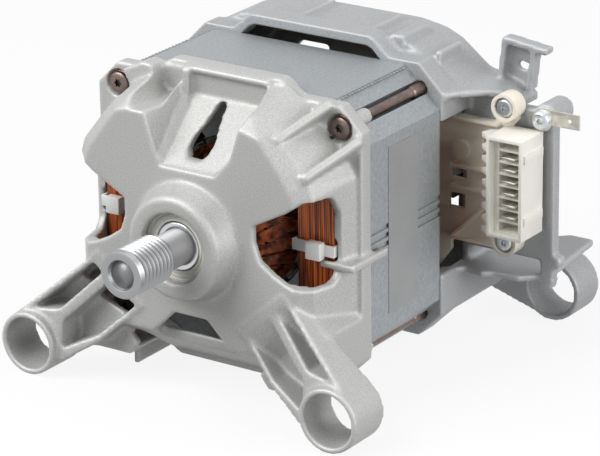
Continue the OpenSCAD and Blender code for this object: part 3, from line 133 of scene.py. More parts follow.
class Shader:
    """A material's node tree with short ways to add the nodes that the finishes share."""

    def __init__(self, name, colour, metallic=0.0, roughness=0.5, **sockets):
        self.material = bpy.data.materials.new(name)
        self.material.use_nodes = True
        self.tree = self.material.node_tree
        self.bsdf = self.tree.nodes["Principled BSDF"]
        self.coords = self.tree.nodes.new("ShaderNodeTexCoord").outputs["Object"]
        self.set("Base Color", (*colour, 1.0))
        self.set("Metallic", metallic)
        self.set("Roughness", roughness)
        for socket, value in sockets.items():
            self.set(socket.replace("_", " "), value)

    def set(self, socket, value):
        self.bsdf.inputs[socket].default_value = value

    def node(self, kind, **values):
        """A new node, with its named inputs or its settings at the given values."""
        made = self.tree.nodes.new(kind)
        for key, value in values.items():
            if key in made.inputs:
                made.inputs[key].default_value = value
            else:
                setattr(made, key, value)
        return made

    def link(self, out, into):
        self.tree.links.new(out, into)

    def stretched(self, stretch):
        """The place on the piece, stretched along each axis."""
        mapping = self.node("ShaderNodeMapping", Scale=stretch)
        self.link(self.coords, mapping.inputs["Vector"])
        return mapping.outputs["Vector"]

    def noise(self, scale, detail=2.0, stretch=(1, 1, 1)):
        made = self.node("ShaderNodeTexNoise", Scale=scale, Detail=detail)
        self.link(self.stretched(stretch), made.inputs["Vector"])
        return made.outputs["Fac"]

    def share(self, value, low, high):
        """Nought where a value is at low, one where it is at high."""
        made = self.node("ShaderNodeMapRange")
        made.inputs["From Min"].default_value = low
        made.inputs["From Max"].default_value = high
        self.link(value, made.inputs["Value"])
        return made.outputs["Result"]

    def bands(self, pitch, axis, distortion=0.0):
        """Sine bands across an axis, one for each pitch in metres."""
        made = self.node("ShaderNodeTexWave", Scale=math.tau / 20 / pitch, Distortion=distortion)
        made.bands_direction = axis
        self.link(self.coords, made.inputs["Vector"])
        return made.outputs["Fac"]

    def ramp(self, fac, stops):
        made = self.tree.nodes.new("ShaderNodeValToRGB")
        ramp = made.color_ramp
        while len(ramp.elements) < len(stops):
            ramp.elements.new(0.5)
        for element, (place, colour) in zip(ramp.elements, stops):
            element.position = place
            element.color = (*colour, 1.0) if len(colour) == 3 else colour
        self.link(fac, made.inputs["Fac"])
        return made.outputs["Color"]

    def tint(self, fac, low, high):
        """Base colour that runs between two shades with fac."""
        self.link(self.ramp(fac, [(0.35, low), (0.65, high)]), self.bsdf.inputs["Base Color"])

    def sheen_range(self, fac, low, high):
        """Roughness that runs between two values with fac."""
        made = self.node("ShaderNodeMapRange")
        made.inputs["To Min"].default_value = low
        made.inputs["To Max"].default_value = high
        self.link(fac, made.inputs["Value"])
        self.link(made.outputs["Result"], self.bsdf.inputs["Roughness"])

    def bump(self, fac, height, after=None):
        made = self.node("ShaderNodeBump", Strength=1.0, Distance=height)
        self.link(fac, made.inputs["Height"])
        if after:
            self.link(after, made.inputs["Normal"])
        self.link(made.outputs["Normal"], self.bsdf.inputs["Normal"])
        return made.outputs["Normal"]


def shade(colour, factor):
    return tuple(min(1.0, c * factor) for c in colour)


def cast_metal(name, colour, grain):
    """Raw die casting: fine grain, and edges paler than the faces, partly as wear and partly as a painted
    highlight.
    """
    s = Shader(name, colour, metallic=0.25, roughness=0.52)
    fine = s.noise(2000, 3)
    body = s.ramp(fine, [(0.36, shade(colour, 0.84)), (0.64, shade(colour, 1.12))])
    # Convex edges run paler than the faces: wear together with a painted highlight
    edge = s.node("ShaderNodeNewGeometry").outputs["Pointiness"]
    worn_and_highlit_edges = s.ramp(edge, [(0.51, (0, 0, 0)), (0.6, (1, 1, 1))])
    mix = s.node("ShaderNodeMix", data_type="RGBA")
    mix.inputs["B"].default_value = (*shade(colour, 1.35), 1.0)
    s.link(worn_and_highlit_edges, mix.inputs["Factor"])
    s.link(body, mix.inputs["A"])
    s.link(mix.outputs["Result"], s.bsdf.inputs["Base Color"])
    s.sheen_range(s.noise(900, 2), 0.42, 0.6)
    s.bump(s.noise(220, 2), grain * 1.5, s.bump(fine, grain))
    return s.material


def stacked_steel(name, colour):
    """Speckled sheets, whose edges show as fine bands along the shaft."""
    s = Shader(name, colour, metallic=0.5, roughness=0.5)
    s.tint(s.noise(700, 3, (1, 2, 1)), shade(colour, 0.88), shade(colour, 1.12))
    s.bump(s.bands(SHEET_PITCH, "Y", 0.6), 0.05 * MM)
    return s.material


def turned_steel(name, colour, roughness, metallic=1.0):
    """Steel with the fine rings that a lathe leaves round the shaft."""
    s = Shader(name, colour, metallic=metallic, roughness=roughness)
    s.sheen_range(s.noise(2600, 2, (1, 0.2, 1)), roughness * 0.7, roughness * 1.3)
    s.bump(s.bands(LATHE_PITCH, "Y", 1.5), TOOL_MARK)
    return s.material


def groove_shaded_steel(name, colour, bottom, rim, roughness):
    """Turned steel with painted shade at the bottom of its grooves, which are darker than its rim."""
    s = Shader(name, colour, metallic=1.0, roughness=roughness)
    radius = s.node("ShaderNodeVectorMath", operation="LENGTH")
    s.link(s.stretched((1, 0, 1)), radius.inputs[0])
    along = s.node("ShaderNodeSeparateXYZ")
    s.link(s.coords, along.inputs[0])
    away = s.node("ShaderNodeMath", operation="ABSOLUTE")
    s.link(along.outputs["Y"], away.inputs[0])
    # Painted shade: nought at the grooves' bottoms, and left off beyond 10.3 mm from the middle along the
    # shaft
    clear_of_painted_shade = s.node("ShaderNodeMath", operation="MAXIMUM")
    s.link(s.share(radius.outputs["Value"], bottom * MM, rim * MM), clear_of_painted_shade.inputs[0])
    s.link(s.share(away.outputs[0], 9.5 * MM, 10.3 * MM), clear_of_painted_shade.inputs[1])
    s.tint(clear_of_painted_shade.outputs[0], shade(colour, 0.22), shade(colour, 1.15))
    s.bump(s.bands(LATHE_PITCH, "Y", 1.5), TOOL_MARK)
    return s.material


def plain_metal(name, colour, roughness, grain=0.01 * MM):
    s = Shader(name, colour, metallic=1.0, roughness=roughness)
    s.tint(s.noise(300, 3), shade(colour, 0.86), shade(colour, 1.1))
    s.bump(s.noise(900, 2), grain)
    return s.material


def enamelled_wire(name, dark, light, stretch):
    """Glossy wire whose shade changes with its place, by a stretched noise."""
    s = Shader(name, light, metallic=0.2, roughness=0.34, Coat_Weight=0.35, Coat_Roughness=0.2)
    s.tint(s.noise(1, 1, stretch), dark, light)
    return s.material


def moulded_plastic(name, colour, roughness=0.45, spread=0.04):
    s = Shader(name, colour, roughness=roughness)
    s.tint(s.noise(60, 2), shade(colour, 1 - spread), shade(colour, 1 + spread))
    s.bump(s.noise(1200, 2), 0.006 * MM)
    return s.material


def set_material(piece, material):
    piece.data.materials.clear()
    piece.data.materials.append(material)


def cad_copy(node, name):
    """A merged copy of a CAD node's mesh, which stands in for it once it is finished."""
    piece = bpy.data.objects.new(name, frame["nodes"][node].data.copy())
    bpy.context.scene.collection.objects.link(piece)
    cleaned(piece, slivers=False)
    return piece


def cleaned(piece, slivers=True):
    """Merges a mesh's doubles, takes its slivers out if wanted, and turns its faces outwards."""
    work = bmesh.new()
    work.from_mesh(piece.data)
    bmesh.ops.remove_doubles(work, verts=work.verts, dist=MERGE)
    if slivers:
        bmesh.ops.dissolve_degenerate(work, edges=work.edges, dist=MERGE / 2)
    bmesh.ops.recalc_face_normals(work, faces=work.faces)
    work.to_mesh(piece.data)
    work.free()


def baked(piece):
    """The piece with its modifiers applied to its mesh."""
    graph = bpy.context.evaluated_depsgraph_get()
    mesh = bpy.data.meshes.new_from_object(piece.evaluated_get(graph))
    old = piece.data
    if piece.type == "CURVE":
        made = bpy.data.objects.new(piece.name, mesh)
        bpy.context.scene.collection.objects.link(made)
        bpy.data.objects.remove(piece)
        return made
    piece.modifiers.clear()
    piece.data = mesh
    bpy.data.meshes.remove(old)
    return piece


def smooth(piece, angle=35):
    piece.data.shade_smooth()
    piece.data.set_sharp_from_angle(angle=math.radians(angle))


def eased(node, name, width, segments=2, angle=30):
    """Copy of a node with its sharp edges rounded off."""
    piece = cad_copy(node, name)
    flat = piece.modifiers.new("Flat", "DECIMATE")
    flat.decimate_type = "DISSOLVE"
    flat.angle_limit = math.radians(1.5)
    ease = piece.modifiers.new("Ease", "BEVEL")
    ease.width = width
    ease.segments = segments
    ease.limit_method = "ANGLE"
    ease.angle_limit = math.radians(angle)
    ease.use_clamp_overlap = True
    piece = baked(piece)
    smooth(piece, angle)
    return piece


def cast_round(node, name, voxel, passes):
    """Copy of a casting whose edges and corners are rounded as a die casting's are."""
    piece = cad_copy(node, name)
    cells = piece.modifiers.new("Cells", "REMESH")
    cells.mode = "VOXEL"
    cells.voxel_size = voxel
    cells.use_smooth_shade = True
    ease = piece.modifiers.new("Ease", "SMOOTH")
    ease.factor = 0.5
    ease.iterations = passes
    return baked(piece)


def replace(piece, body, *nodes, slot=None):
    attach(piece, body)
    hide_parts(*nodes)
    return piece


class Tree:
    """A Geometry Nodes tree with named sizes, which repeats pieces or runs them along a path."""

    def __init__(self, name, **sizes):
        self.group = bpy.data.node_groups.new(name, "GeometryNodeTree")
        face = self.group.interface
        face.new_socket("Geometry", in_out="INPUT", socket_type="NodeSocketGeometry")
        face.new_socket("Geometry", in_out="OUTPUT", socket_type="NodeSocketGeometry")
        self.sizes = {}
        for key, value in sizes.items():
            kind = "NodeSocketInt" if isinstance(value, int) else "NodeSocketFloat"
            socket = face.new_socket(key.replace("_", " "), in_out="INPUT", socket_type=kind)
            self.sizes[socket.identifier] = value
        self.start = self.group.nodes.new("NodeGroupInput")
        self.geometry = self.start.outputs["Geometry"]

    def size(self, key):
        return self.start.outputs[key.replace("_", " ")]

    def node(self, kind, inputs=None, **settings):
        made = self.group.nodes.new(kind)
        for key, value in settings.items():
            setattr(made, key, value)
        for key, value in (inputs or {}).items():
            if isinstance(value, bpy.types.NodeSocket):
                self.group.links.new(value, made.inputs[key])
            else:
                made.inputs[key].default_value = value
        return made

    def maths(self, operation, a, b):
        return self.node("ShaderNodeMath", {0: a, 1: b}, operation=operation).outputs[0]

    def vector(self, operation, a, b):
        return self.node("ShaderNodeVectorMath", {0: a, 1: b}, operation=operation).outputs[0]

    def xyz(self, x=0.0, y=0.0, z=0.0):
        return self.node("ShaderNodeCombineXYZ", {"X": x, "Y": y, "Z": z}).outputs[0]

    def stray(self, geometry, stretch, far):
        """Moves points by smooth noise of their own place, stretched so that neighbours differ."""
        place = self.node("GeometryNodeInputPosition").outputs[0]
        noise = self.node("ShaderNodeTexNoise",
            {"Vector": self.vector("MULTIPLY", place, stretch), "Scale": 1.0, "Detail": 1.0})
        centred = self.vector("SUBTRACT", noise.outputs["Color"], (0.5, 0.5, 0.5))
        offset = self.vector("MULTIPLY", centred, self.xyz(far, far, far))
        return self.node("GeometryNodeSetPosition",
            {"Geometry": geometry, "Offset": offset}).outputs["Geometry"]

    def tubes(self, curves, radius, sides):
        ring = self.node("GeometryNodeCurvePrimitiveCircle", {"Resolution": sides, "Radius": radius})
        return self.node("GeometryNodeCurveToMesh", {"Curve": curves,
            "Profile Curve": ring.outputs["Curve"], "Fill Caps": True}).outputs["Mesh"]

    def finish(self, geometry, material):
        soft = self.node("GeometryNodeSetShadeSmooth", {"Geometry": geometry}).outputs["Geometry"]
        real = self.node("GeometryNodeRealizeInstances", {"Geometry": soft}).outputs["Geometry"]
        dressed = self.node("GeometryNodeSetMaterial", {"Geometry": real, "Material": material})
        end = self.group.nodes.new("NodeGroupOutput")
        self.group.links.new(dressed.outputs["Geometry"], end.inputs["Geometry"])

    def grow(self, source):
        """The plain mesh that the tree makes from a source object."""
        grown = source.modifiers.new("Grow", "NODES")
        grown.node_group = self.group
        for identifier, value in self.sizes.items():
            grown[identifier] = value
        return baked(source)


def paths(name, point_lists, closed):
    """A curve object with one straight-sided path for each list of points in millimetres."""
    data = bpy.data.curves.new(name, "CURVE")
    data.dimensions = "3D"
    for points in point_lists:
        spline = data.splines.new("POLY")
        spline.points.add(len(points) - 1)
        for made, point in zip(spline.points, points):
            made.co = (*(v * MM for v in point), 1.0)
        spline.use_cyclic_u = closed
    made = bpy.data.objects.new(name, data)
    bpy.context.scene.collection.objects.link(made)
    return made


def seed_points(name, places):
    """A mesh of loose points in millimetres for a tree to put pieces on."""
    mesh = bpy.data.meshes.new(name)
    mesh.from_pydata([[v * MM for v in place] for place in places], [], [])
    made = bpy.data.objects.new(name, mesh)
    bpy.context.scene.collection.objects.link(made)
    return made


def lathe(name, profile, material, segments=128):
    """A piece turned round the shaft axis from a closed outline of (radius, y) in millimetres."""
    mesh = bpy.data.meshes.new(name)
    count = len(profile)
    edges = [(i, (i + 1) % count) for i in range(count)]
    mesh.from_pydata([(r * MM, y * MM, 0.0) for r, y in profile], edges, [])
    piece = bpy.data.objects.new(name, mesh)
    bpy.context.scene.collection.objects.link(piece)
    turn = piece.modifiers.new("Turn", "SCREW")
    turn.axis = "Y"
    turn.angle = math.tau
    turn.steps = turn.render_steps = segments
    turn.use_merge_vertices = True
    turn.merge_threshold = MERGE / 2
    piece = baked(piece)
    cleaned(piece)
    smooth(piece, 40)
    set_material(piece, material)
    return piece


def joined(pieces, name):
    """One object made of several meshes."""
    first = pieces[0]
    with bpy.context.temp_override(active_object=first, object=first, selected_objects=pieces,
            selected_editable_objects=pieces):
        bpy.ops.object.join()
    first.name = first.data.name = name
    return first


def thinned(node, name, depth):
    """Merged copy of a node whose faces all lie deeper by depth, as the fill under its wires."""
    piece = cad_copy(node, name)
    shrink = piece.modifiers.new("Thin", "DISPLACE")
    shrink.strength = -depth
    shrink.mid_level = 0.0
    return baked(piece)


class MOTOR_OT_castings(bpy.types.Operator):
    """Round and finish the two end shields."""
    bl_idname = "motor.castings"
    bl_label = "Finish the castings"

    def execute(self, context):
        look = context.scene.motor_casting
        for node, colour in (("front_end_shield", look.front_colour), ("rear_end_shield", look.rear_colour)):
            piece = cast_round(node, node + "_casting", look.voxel, look.rounding)
            set_material(piece, cast_metal(node + " metal", tuple(colour), look.grain))
            replace(piece, "housing", node, slot="cast_light" if node.startswith("front") else "cast_mid")
        return {"FINISHED"}


def coil_turn(low, high, inset, corner):
    """One rounded turn round a pole, in the plane of Y and Z, inset from the coil's outside."""
    tightest = 1.5
    radius = max(corner - inset, tightest)
    y0, y1 = low.y + inset + radius, high.y - inset - radius
    z0, z1 = low.z + inset + radius, high.z - inset - radius
    centres = ((y1, z1), (y0, z1), (y0, z0), (y1, z0))
    steps, straight = 6, 12
    points = []
    for quarter, (y, z) in enumerate(centres):
        arc = [(y + radius * math.cos(a), z + radius * math.sin(a))
            for a in (math.tau / 4 * (quarter + k / steps) for k in range(steps + 1))]
        if points:
            points += between(points[-1], arc[0], straight)
        points += arc
    return [(0.0, y, z) for y, z in points + between(points[-1], points[0], straight)]


def between(a, b, parts):
    """Points inside the straight stretch from a to b."""
    return [tuple(p + (q - p) * k / parts for p, q in zip(a, b)) for k in range(1, parts)]


def wound(name, turns, start, spacing, count, look, material):
    """Repeats some turns of wire along X and lets each stray a little from its layer."""
    tree = Tree(name, Wires=count, First=start * MM, Spacing=spacing * MM,
        Radius=look.wire_radius, Wander=look.wander)
    row = tree.node("GeometryNodeMeshLine", {"Count": tree.size("Wires"),
        "Start Location": tree.xyz(tree.size("First")), "Offset": tree.xyz(tree.size("Spacing"))})
    repeated = tree.node("GeometryNodeInstanceOnPoints",
        {"Points": row.outputs["Mesh"], "Instance": tree.geometry}).outputs["Instances"]
    real = tree.node("GeometryNodeRealizeInstances", {"Geometry": repeated}).outputs["Geometry"]
    across = (900, 60, 60)
    strayed = tree.stray(real, across, tree.size("Wander"))
    tree.finish(tree.tubes(strayed, tree.size("Radius"), 6), material)
    return tree.grow(paths(name, turns, closed=True))


class MOTOR_OT_field_coils(bpy.types.Operator):
    """Wind the two field coils from separate turns of wire."""
    bl_idname = "motor.field_coils"
    bl_label = "Wind the field coils"

    def execute(self, context):
        look = context.scene.motor_winding
        wire = look.wire_radius / MM
        corner, layers = 9.0, 9
        pitch = 2.08 * wire
        for side, sign in SIDES:
            low, high = box_mm("field_coil_" + side)
            count = int((high.x - low.x - 2 * wire) / pitch) + 1
            width = high.x - low.x - 2 * wire
            outer = wound("outer_turns_" + side, [coil_turn(low, high, 0.0, corner)],
                low.x + wire, width / (count - 1), count, look, bpy.data.materials["Field wire"])
            nested = [coil_turn(low, high, pitch * k, corner) for k in range(1, layers)]
            faces = wound("side_turns_" + side, nested, low.x + wire, width, 2, look,
                bpy.data.materials["Field wire"])
            # The fill takes the near black Shaded wire: painted shade inside the coil
            fill = thinned("field_coil_" + side, "coil_fill_" + side, look.wire_radius)
            set_material(fill, bpy.data.materials["Shaded wire"])
            coil = joined([outer, faces, fill], "field_turns_" + side)
            replace(coil, "housing", "field_coil_" + side, "field_winding_" + side, slot="copper")
        return {"FINISHED"}


def head_strands(low, high, front, look):
    """Strands of one armature slot, from its mouth across the dome to the slot opposite."""
    reach, thick = high.x - 0.6, high.y - low.y
    span, steps, lift = math.radians(138), 16, 3.0
    shaft_room, top_r, spread = 12.0, 13.0, math.radians(12.0)
    root, away = (high.y, -1) if front else (low.y, 1)
    strands = []
    for j in range(look.strands):
        turn = spread * j / look.strands
        points = []
        for k in range(steps + 1):
            t = k / steps
            radius = max(reach * math.cos(span / 2) / math.cos(span * (t - 0.5)), shaft_room)
            height = max(1 - (max(radius - top_r, 0) / (reach - top_r)) ** 4, 0.0) ** 0.5
            rise = (thick - lift - 0.5) * height + lift * t * height
            angle = turn + span * t
            points.append((radius * math.cos(angle), root + away * rise, radius * math.sin(angle)))
        strands.append(points)
    return strands


class MOTOR_OT_armature_heads(bpy.types.Operator):
    """Lay the armature's crossed wires over both winding heads."""
    bl_idname = "motor.armature_heads"
    bl_label = "Wind the armature heads"

    def execute(self, context):
        look = context.scene.motor_winding
        for end in ("front", "rear"):
            node = "armature_winding_" + end
            name = "crossed_wires_" + end
            tree = Tree(name, Slots=24, Radius=look.head_wire_radius, Wander=look.wander)
            ring = tree.node("GeometryNodeMeshLine", {"Count": tree.size("Slots"), "Offset": (0, 0, 0)})
            index = tree.node("GeometryNodeInputIndex").outputs[0]
            turn = tree.maths("MULTIPLY", index, tree.maths("DIVIDE", math.tau, tree.size("Slots")))
            repeated = tree.node("GeometryNodeInstanceOnPoints", {"Points": ring.outputs["Mesh"],
                "Instance": tree.geometry, "Rotation": tree.xyz(y=turn)}).outputs["Instances"]
            real = tree.node("GeometryNodeRealizeInstances", {"Geometry": repeated}).outputs["Geometry"]
            every_way = (300, 300, 300)
            strayed = tree.stray(real, every_way, tree.size("Wander"))
            tree.finish(tree.tubes(strayed, tree.size("Radius"), 5), bpy.data.materials["Armature wire"])
            wires = tree.grow(paths(name, head_strands(*box_mm(node), end == "front", look), closed=False))
            depth = 4.6 * MM
            # The fill takes the near black Shaded wire: painted shade inside the winding head
            fill = thinned(node, "head_fill_" + end, depth)
            smooth(fill)
            set_material(fill, bpy.data.materials["Shaded wire"])
            replace(joined([wires, fill], name), "rotor", node, slot="copper_dark")
        return {"FINISHED"}


# Shares of a ridge's pitch, and how deep its outline lies there as a share of the groove's depth
RIDGE = ((0.06, 0.08), (0.14, 0.0), (0.26, 0.12), (0.42, 0.86), (0.48, 1.0),
    (0.56, 1.0), (0.62, 0.86), (0.78, 0.12), (0.90, 0.0), (0.97, 0.06))


def belt_ridges(start, tip_r, count, depth):
    """Outline of the pulley's soft-edged ridges, from front to back."""
    return [(tip_r - depth * sink, start + PULLEY_PITCH * (k + share))
        for k in range(count) for share, sink in RIDGE]


class MOTOR_OT_turned_pieces(bpy.types.Operator):
    """Turn the pulley, and the front bearing's rings and seals, with their soft edges."""
    bl_idname = "motor.turned_pieces"
    bl_label = "Turn the round pieces"

    def execute(self, context):
        low, high = box_mm("drive_pulley")
        rim, bore, collar = high.x, 5.42, high.x - 1.7
        outline = [(bore, low.y + 2.6), (bore + 0.1, low.y + 1.65), (bore + 0.35, low.y + 1.2),
            (6.25, low.y + 0.12), (6.5, low.y), (rim - 0.7, low.y), (rim - 0.25, low.y + 0.16),
            (rim, low.y + 0.6), *belt_ridges(low.y + 2.64, rim, 8, 1.72),
            (rim - 0.7, high.y - 2.7), (collar + 0.1, high.y - 2.3), (collar, high.y - 2.0),
            (collar, high.y - 0.4), (collar - 0.4, high.y), (bore, high.y)]
        pulley = lathe("turned_pulley", outline, bpy.data.materials["Steel with painted groove shade"])
        replace(pulley, "rotor", "drive_pulley", slot="bright_steel")

        low, high = box_mm("front_bearing_outer_ring")
        edge = 0.6
        for node, inner, outer in (("front_bearing_outer_ring", high.x - 2.5, high.x),
                ("front_bearing_inner_ring", 7.5, 10.0)):
            ring = [(inner, low.y + edge), (inner + edge / 2, low.y + 0.1), (inner + edge, low.y),
                (outer - edge, low.y), (outer - edge / 3, low.y + edge / 3), (outer, low.y + edge),
                (outer, high.y - edge), (outer - edge, high.y),
                (inner + edge, high.y), (inner, high.y - edge)]
            body = "rotor" if "inner" in node else "housing"
            race = lathe(node + "_turned", ring, bpy.data.materials["Ground bearing steel"])
            replace(race, body, node, slot="bearing_steel")

        low, high = box_mm("front_bearing_seals")
        inner, outer, thick, groove = 10.35, high.x, 0.85, 0.4
        grooves = []
        for middle in (outer - 1.5, outer - 3.2):
            grooves += [(middle + 0.45, low.y), (middle + 0.3, low.y + groove),
                (middle - 0.3, low.y + groove), (middle - 0.45, low.y)]
        front = [(outer, low.y + 0.1), *grooves, (inner + 0.1, low.y), (inner, low.y + 0.15),
            (inner, low.y + thick), (outer, low.y + thick)]
        rear = [(outer, high.y - thick), (inner, high.y - thick), (inner, high.y), (outer, high.y)]
        cream = bpy.data.materials["Cream seal"]
        seals = joined([lathe("front_seal", front, cream), lathe("rear_seal", rear, cream)], "turned_seals")
        replace(seals, "housing", "front_bearing_seals", slot="seal_cream")
        return {"FINISHED"}


# Pieces that only get smooth shading: node, body, slot and finish
SMOOTHED = (("rotor_shaft", "rotor", "bright_steel", "Shaft steel"),
    ("tacho_cap", "housing", "cream_plastic", "Cream moulding"),
    ("armature_insulators", "rotor", "insulation", "Insulating sheet"))
# Pieces of the housing whose edges are rounded off: node, width in millimetres and slot
EASED = (("tie_bolts", 0.25, "bronze_steel"), ("carrier_screws", 0.2, "zinc_steel"),
    ("earth_screw", 0.2, "zinc_steel"), ("cable_tie_left", 0.6, "tie_white"),
    ("cable_tie_right", 0.6, "tie_white"),
    ("connector_block", 0.22, "connector_white"), ("brush_carrier", 0.25, "cream_plastic"),
    ("earth_tab", 0.12, "tinned_metal"), ("connector_blades", 0.15, "tinned_metal"))


class MOTOR_OT_small_pieces(bpy.types.Operator):
    """Round off the moulded pieces and fasteners, and smooth the brush springs."""
    bl_idname = "motor.small_pieces"
    bl_label = "Finish the small pieces"

    def execute(self, context):
        for node, body, slot, finish in SMOOTHED:
            piece = cad_copy(node, node + "_smooth")
            smooth(piece)
            set_material(piece, bpy.data.materials[finish])
            replace(piece, body, node, slot=slot)
        for node, width, slot in EASED:
            piece = eased(node, node + "_eased", width * MM)
            set_material(piece, frame["nodes"][node].data.materials[0])
            replace(piece, "housing", node, slot=slot)
        for side, sign in SIDES:
            node = "brush_spring_" + side
            spring = cad_copy(node, node + "_coil")
            smooth(spring)
            set_material(spring, frame["nodes"][node].data.materials[0])
            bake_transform(spring)
            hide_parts(node)
        return {"FINISHED"}


class MOTOR_OT_welds(bpy.types.Operator):
    """Lay the rows of weld beads along the top of the core."""
    bl_idname = "motor.welds"
    bl_label = "Weld the core"

    def execute(self, context):
        low, high = box_mm("stator_core")
        pitch, channel = 2.3, 47.5
        beads = int((high.y - low.y) / pitch) - 1
        tree = Tree("Weld beads", Beads=beads, Pitch=pitch * MM, Radius=0.95 * MM)
        row = tree.node("GeometryNodeMeshLine",
            {"Count": tree.size("Beads"), "Offset": tree.xyz(y=tree.size("Pitch"))})
        rows = tree.node("GeometryNodeInstanceOnPoints", {"Points": tree.geometry,
            "Instance": row.outputs["Mesh"]}).outputs["Instances"]
        points = tree.node("GeometryNodeRealizeInstances", {"Geometry": rows}).outputs["Geometry"]
        bead = tree.node("GeometryNodeMeshIcoSphere", {"Radius": tree.size("Radius"), "Subdivisions": 2})
        beads = tree.node("GeometryNodeInstanceOnPoints", {"Points": points, "Instance": bead.outputs["Mesh"],
            "Scale": (0.8, 1.0, 0.45)}).outputs["Instances"]
        tree.finish(beads, bpy.data.materials["Weld metal"])
        starts = [(x, low.y + pitch, high.z - 0.55) for x in (-channel, channel)]
        beads = tree.grow(seed_points("weld_beads", starts))
        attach(beads, "housing")
        return {"FINISHED"}


class MOTOR_OT_finishes(bpy.types.Operator):
    """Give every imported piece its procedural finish."""
    bl_idname = "motor.finishes"
    bl_label = "Finish the packed pieces"

    def execute(self, context):
        finishes = {
            "lamination": stacked_steel("Stacked sheet steel", (0.34, 0.36, 0.375)),
            "label": moulded_plastic("Blank label film", (0.32, 0.325, 0.33), 0.34),
            "copper": enamelled_wire("Field wire", (0.16, 0.032, 0.01), (0.90, 0.23, 0.05),
                (1100, 1100, 25)),
            "copper_dark": enamelled_wire("Armature wire", (0.14, 0.03, 0.015), (0.85, 0.22, 0.07),
                (260, 260, 260)),
            "insulation": moulded_plastic("Insulating sheet", (0.30, 0.32, 0.25), 0.5),
            "tie_white": moulded_plastic("Natural nylon", (0.80, 0.80, 0.78), 0.35),
            "bronze_steel": plain_metal("Brown passivated steel", (0.19, 0.145, 0.13), 0.38),
            "bearing_steel": turned_steel("Ground bearing steel", (0.60, 0.61, 0.62), 0.22),
            "seal_cream": moulded_plastic("Cream seal", (0.86, 0.85, 0.79), 0.45),
            "cream_plastic": moulded_plastic("Cream moulding", (0.86, 0.81, 0.70)),
            "brown_plastic": moulded_plastic("Phenolic moulding", (0.10, 0.07, 0.05)),
            "connector_white": moulded_plastic("Connector moulding", (0.88, 0.86, 0.79), 0.4),
            "tinned_metal": plain_metal("Tinned metal", (0.62, 0.60, 0.54), 0.32),
            "zinc_steel": plain_metal("Zinc plated steel", (0.62, 0.64, 0.65), 0.28),
            "bright_steel": turned_steel("Turned steel", (0.62, 0.62, 0.62), 0.24),
            "commutator_copper": plain_metal("Bare copper", (0.60, 0.28, 0.14), 0.3),
            "ferrite": plain_metal("Ferrite", (0.05, 0.05, 0.055), 0.6),
            "carbon": moulded_plastic("Pressed carbon", (0.03, 0.03, 0.032), 0.6),
            "cast_light": cast_metal("Front casting core", (0.58, 0.57, 0.55), 0.05 * MM),
            "cast_mid": cast_metal("Rear casting core", (0.40, 0.40, 0.40), 0.05 * MM),
        }
        groove_shaded_steel("Steel with painted groove shade", (0.30, 0.305, 0.31), 7.9, 9.6, 0.4)
        # Shaft steel is a darker copy of the turned steel: painted shade of the pulley's bore
        turned_steel("Shaft steel", (0.26, 0.26, 0.265), 0.42, 0.6)
        # Shaded wire is near black copper for the fill under the wires: painted shade inside the winding
        enamelled_wire("Shaded wire", (0.03, 0.008, 0.005), (0.08, 0.02, 0.01), (200, 200, 200))
        plain_metal("Weld metal", (0.26, 0.27, 0.28), 0.6)
        for part in frame["record"]["subparts"]:
            set_material(frame["nodes"][part["node"]], finishes[part["material_slot"]])
        return {"FINISHED"}


class MOTOR_OT_stage(bpy.types.Operator):
    """Set the floor, the lights and the photograph's camera."""
    bl_idname = "motor.stage"
    bl_label = "Set the stage"

    def execute(self, context):
        look = context.scene.motor_stage
        add_floor(look.floor_glow)
        add_lights(look.key_power, look.fill_power)
        add_camera(look.lens)
        context.scene.view_settings.view_transform = "Standard"
        return {"FINISHED"}


def seen_directly(tree):
    """One for camera, mirror and see-through rays, and nought for the light that falls on pieces."""
    path = tree.nodes.new("ShaderNodeLightPath")
    total = path.outputs["Is Camera Ray"]
    for other in ("Is Glossy Ray", "Is Transmission Ray"):
        add = tree.nodes.new("ShaderNodeMath")
        add.operation = "ADD"
        add.use_clamp = True
        tree.links.new(total, add.inputs[0])
        tree.links.new(path.outputs[other], add.inputs[1])
        total = add.outputs[0]
    return total


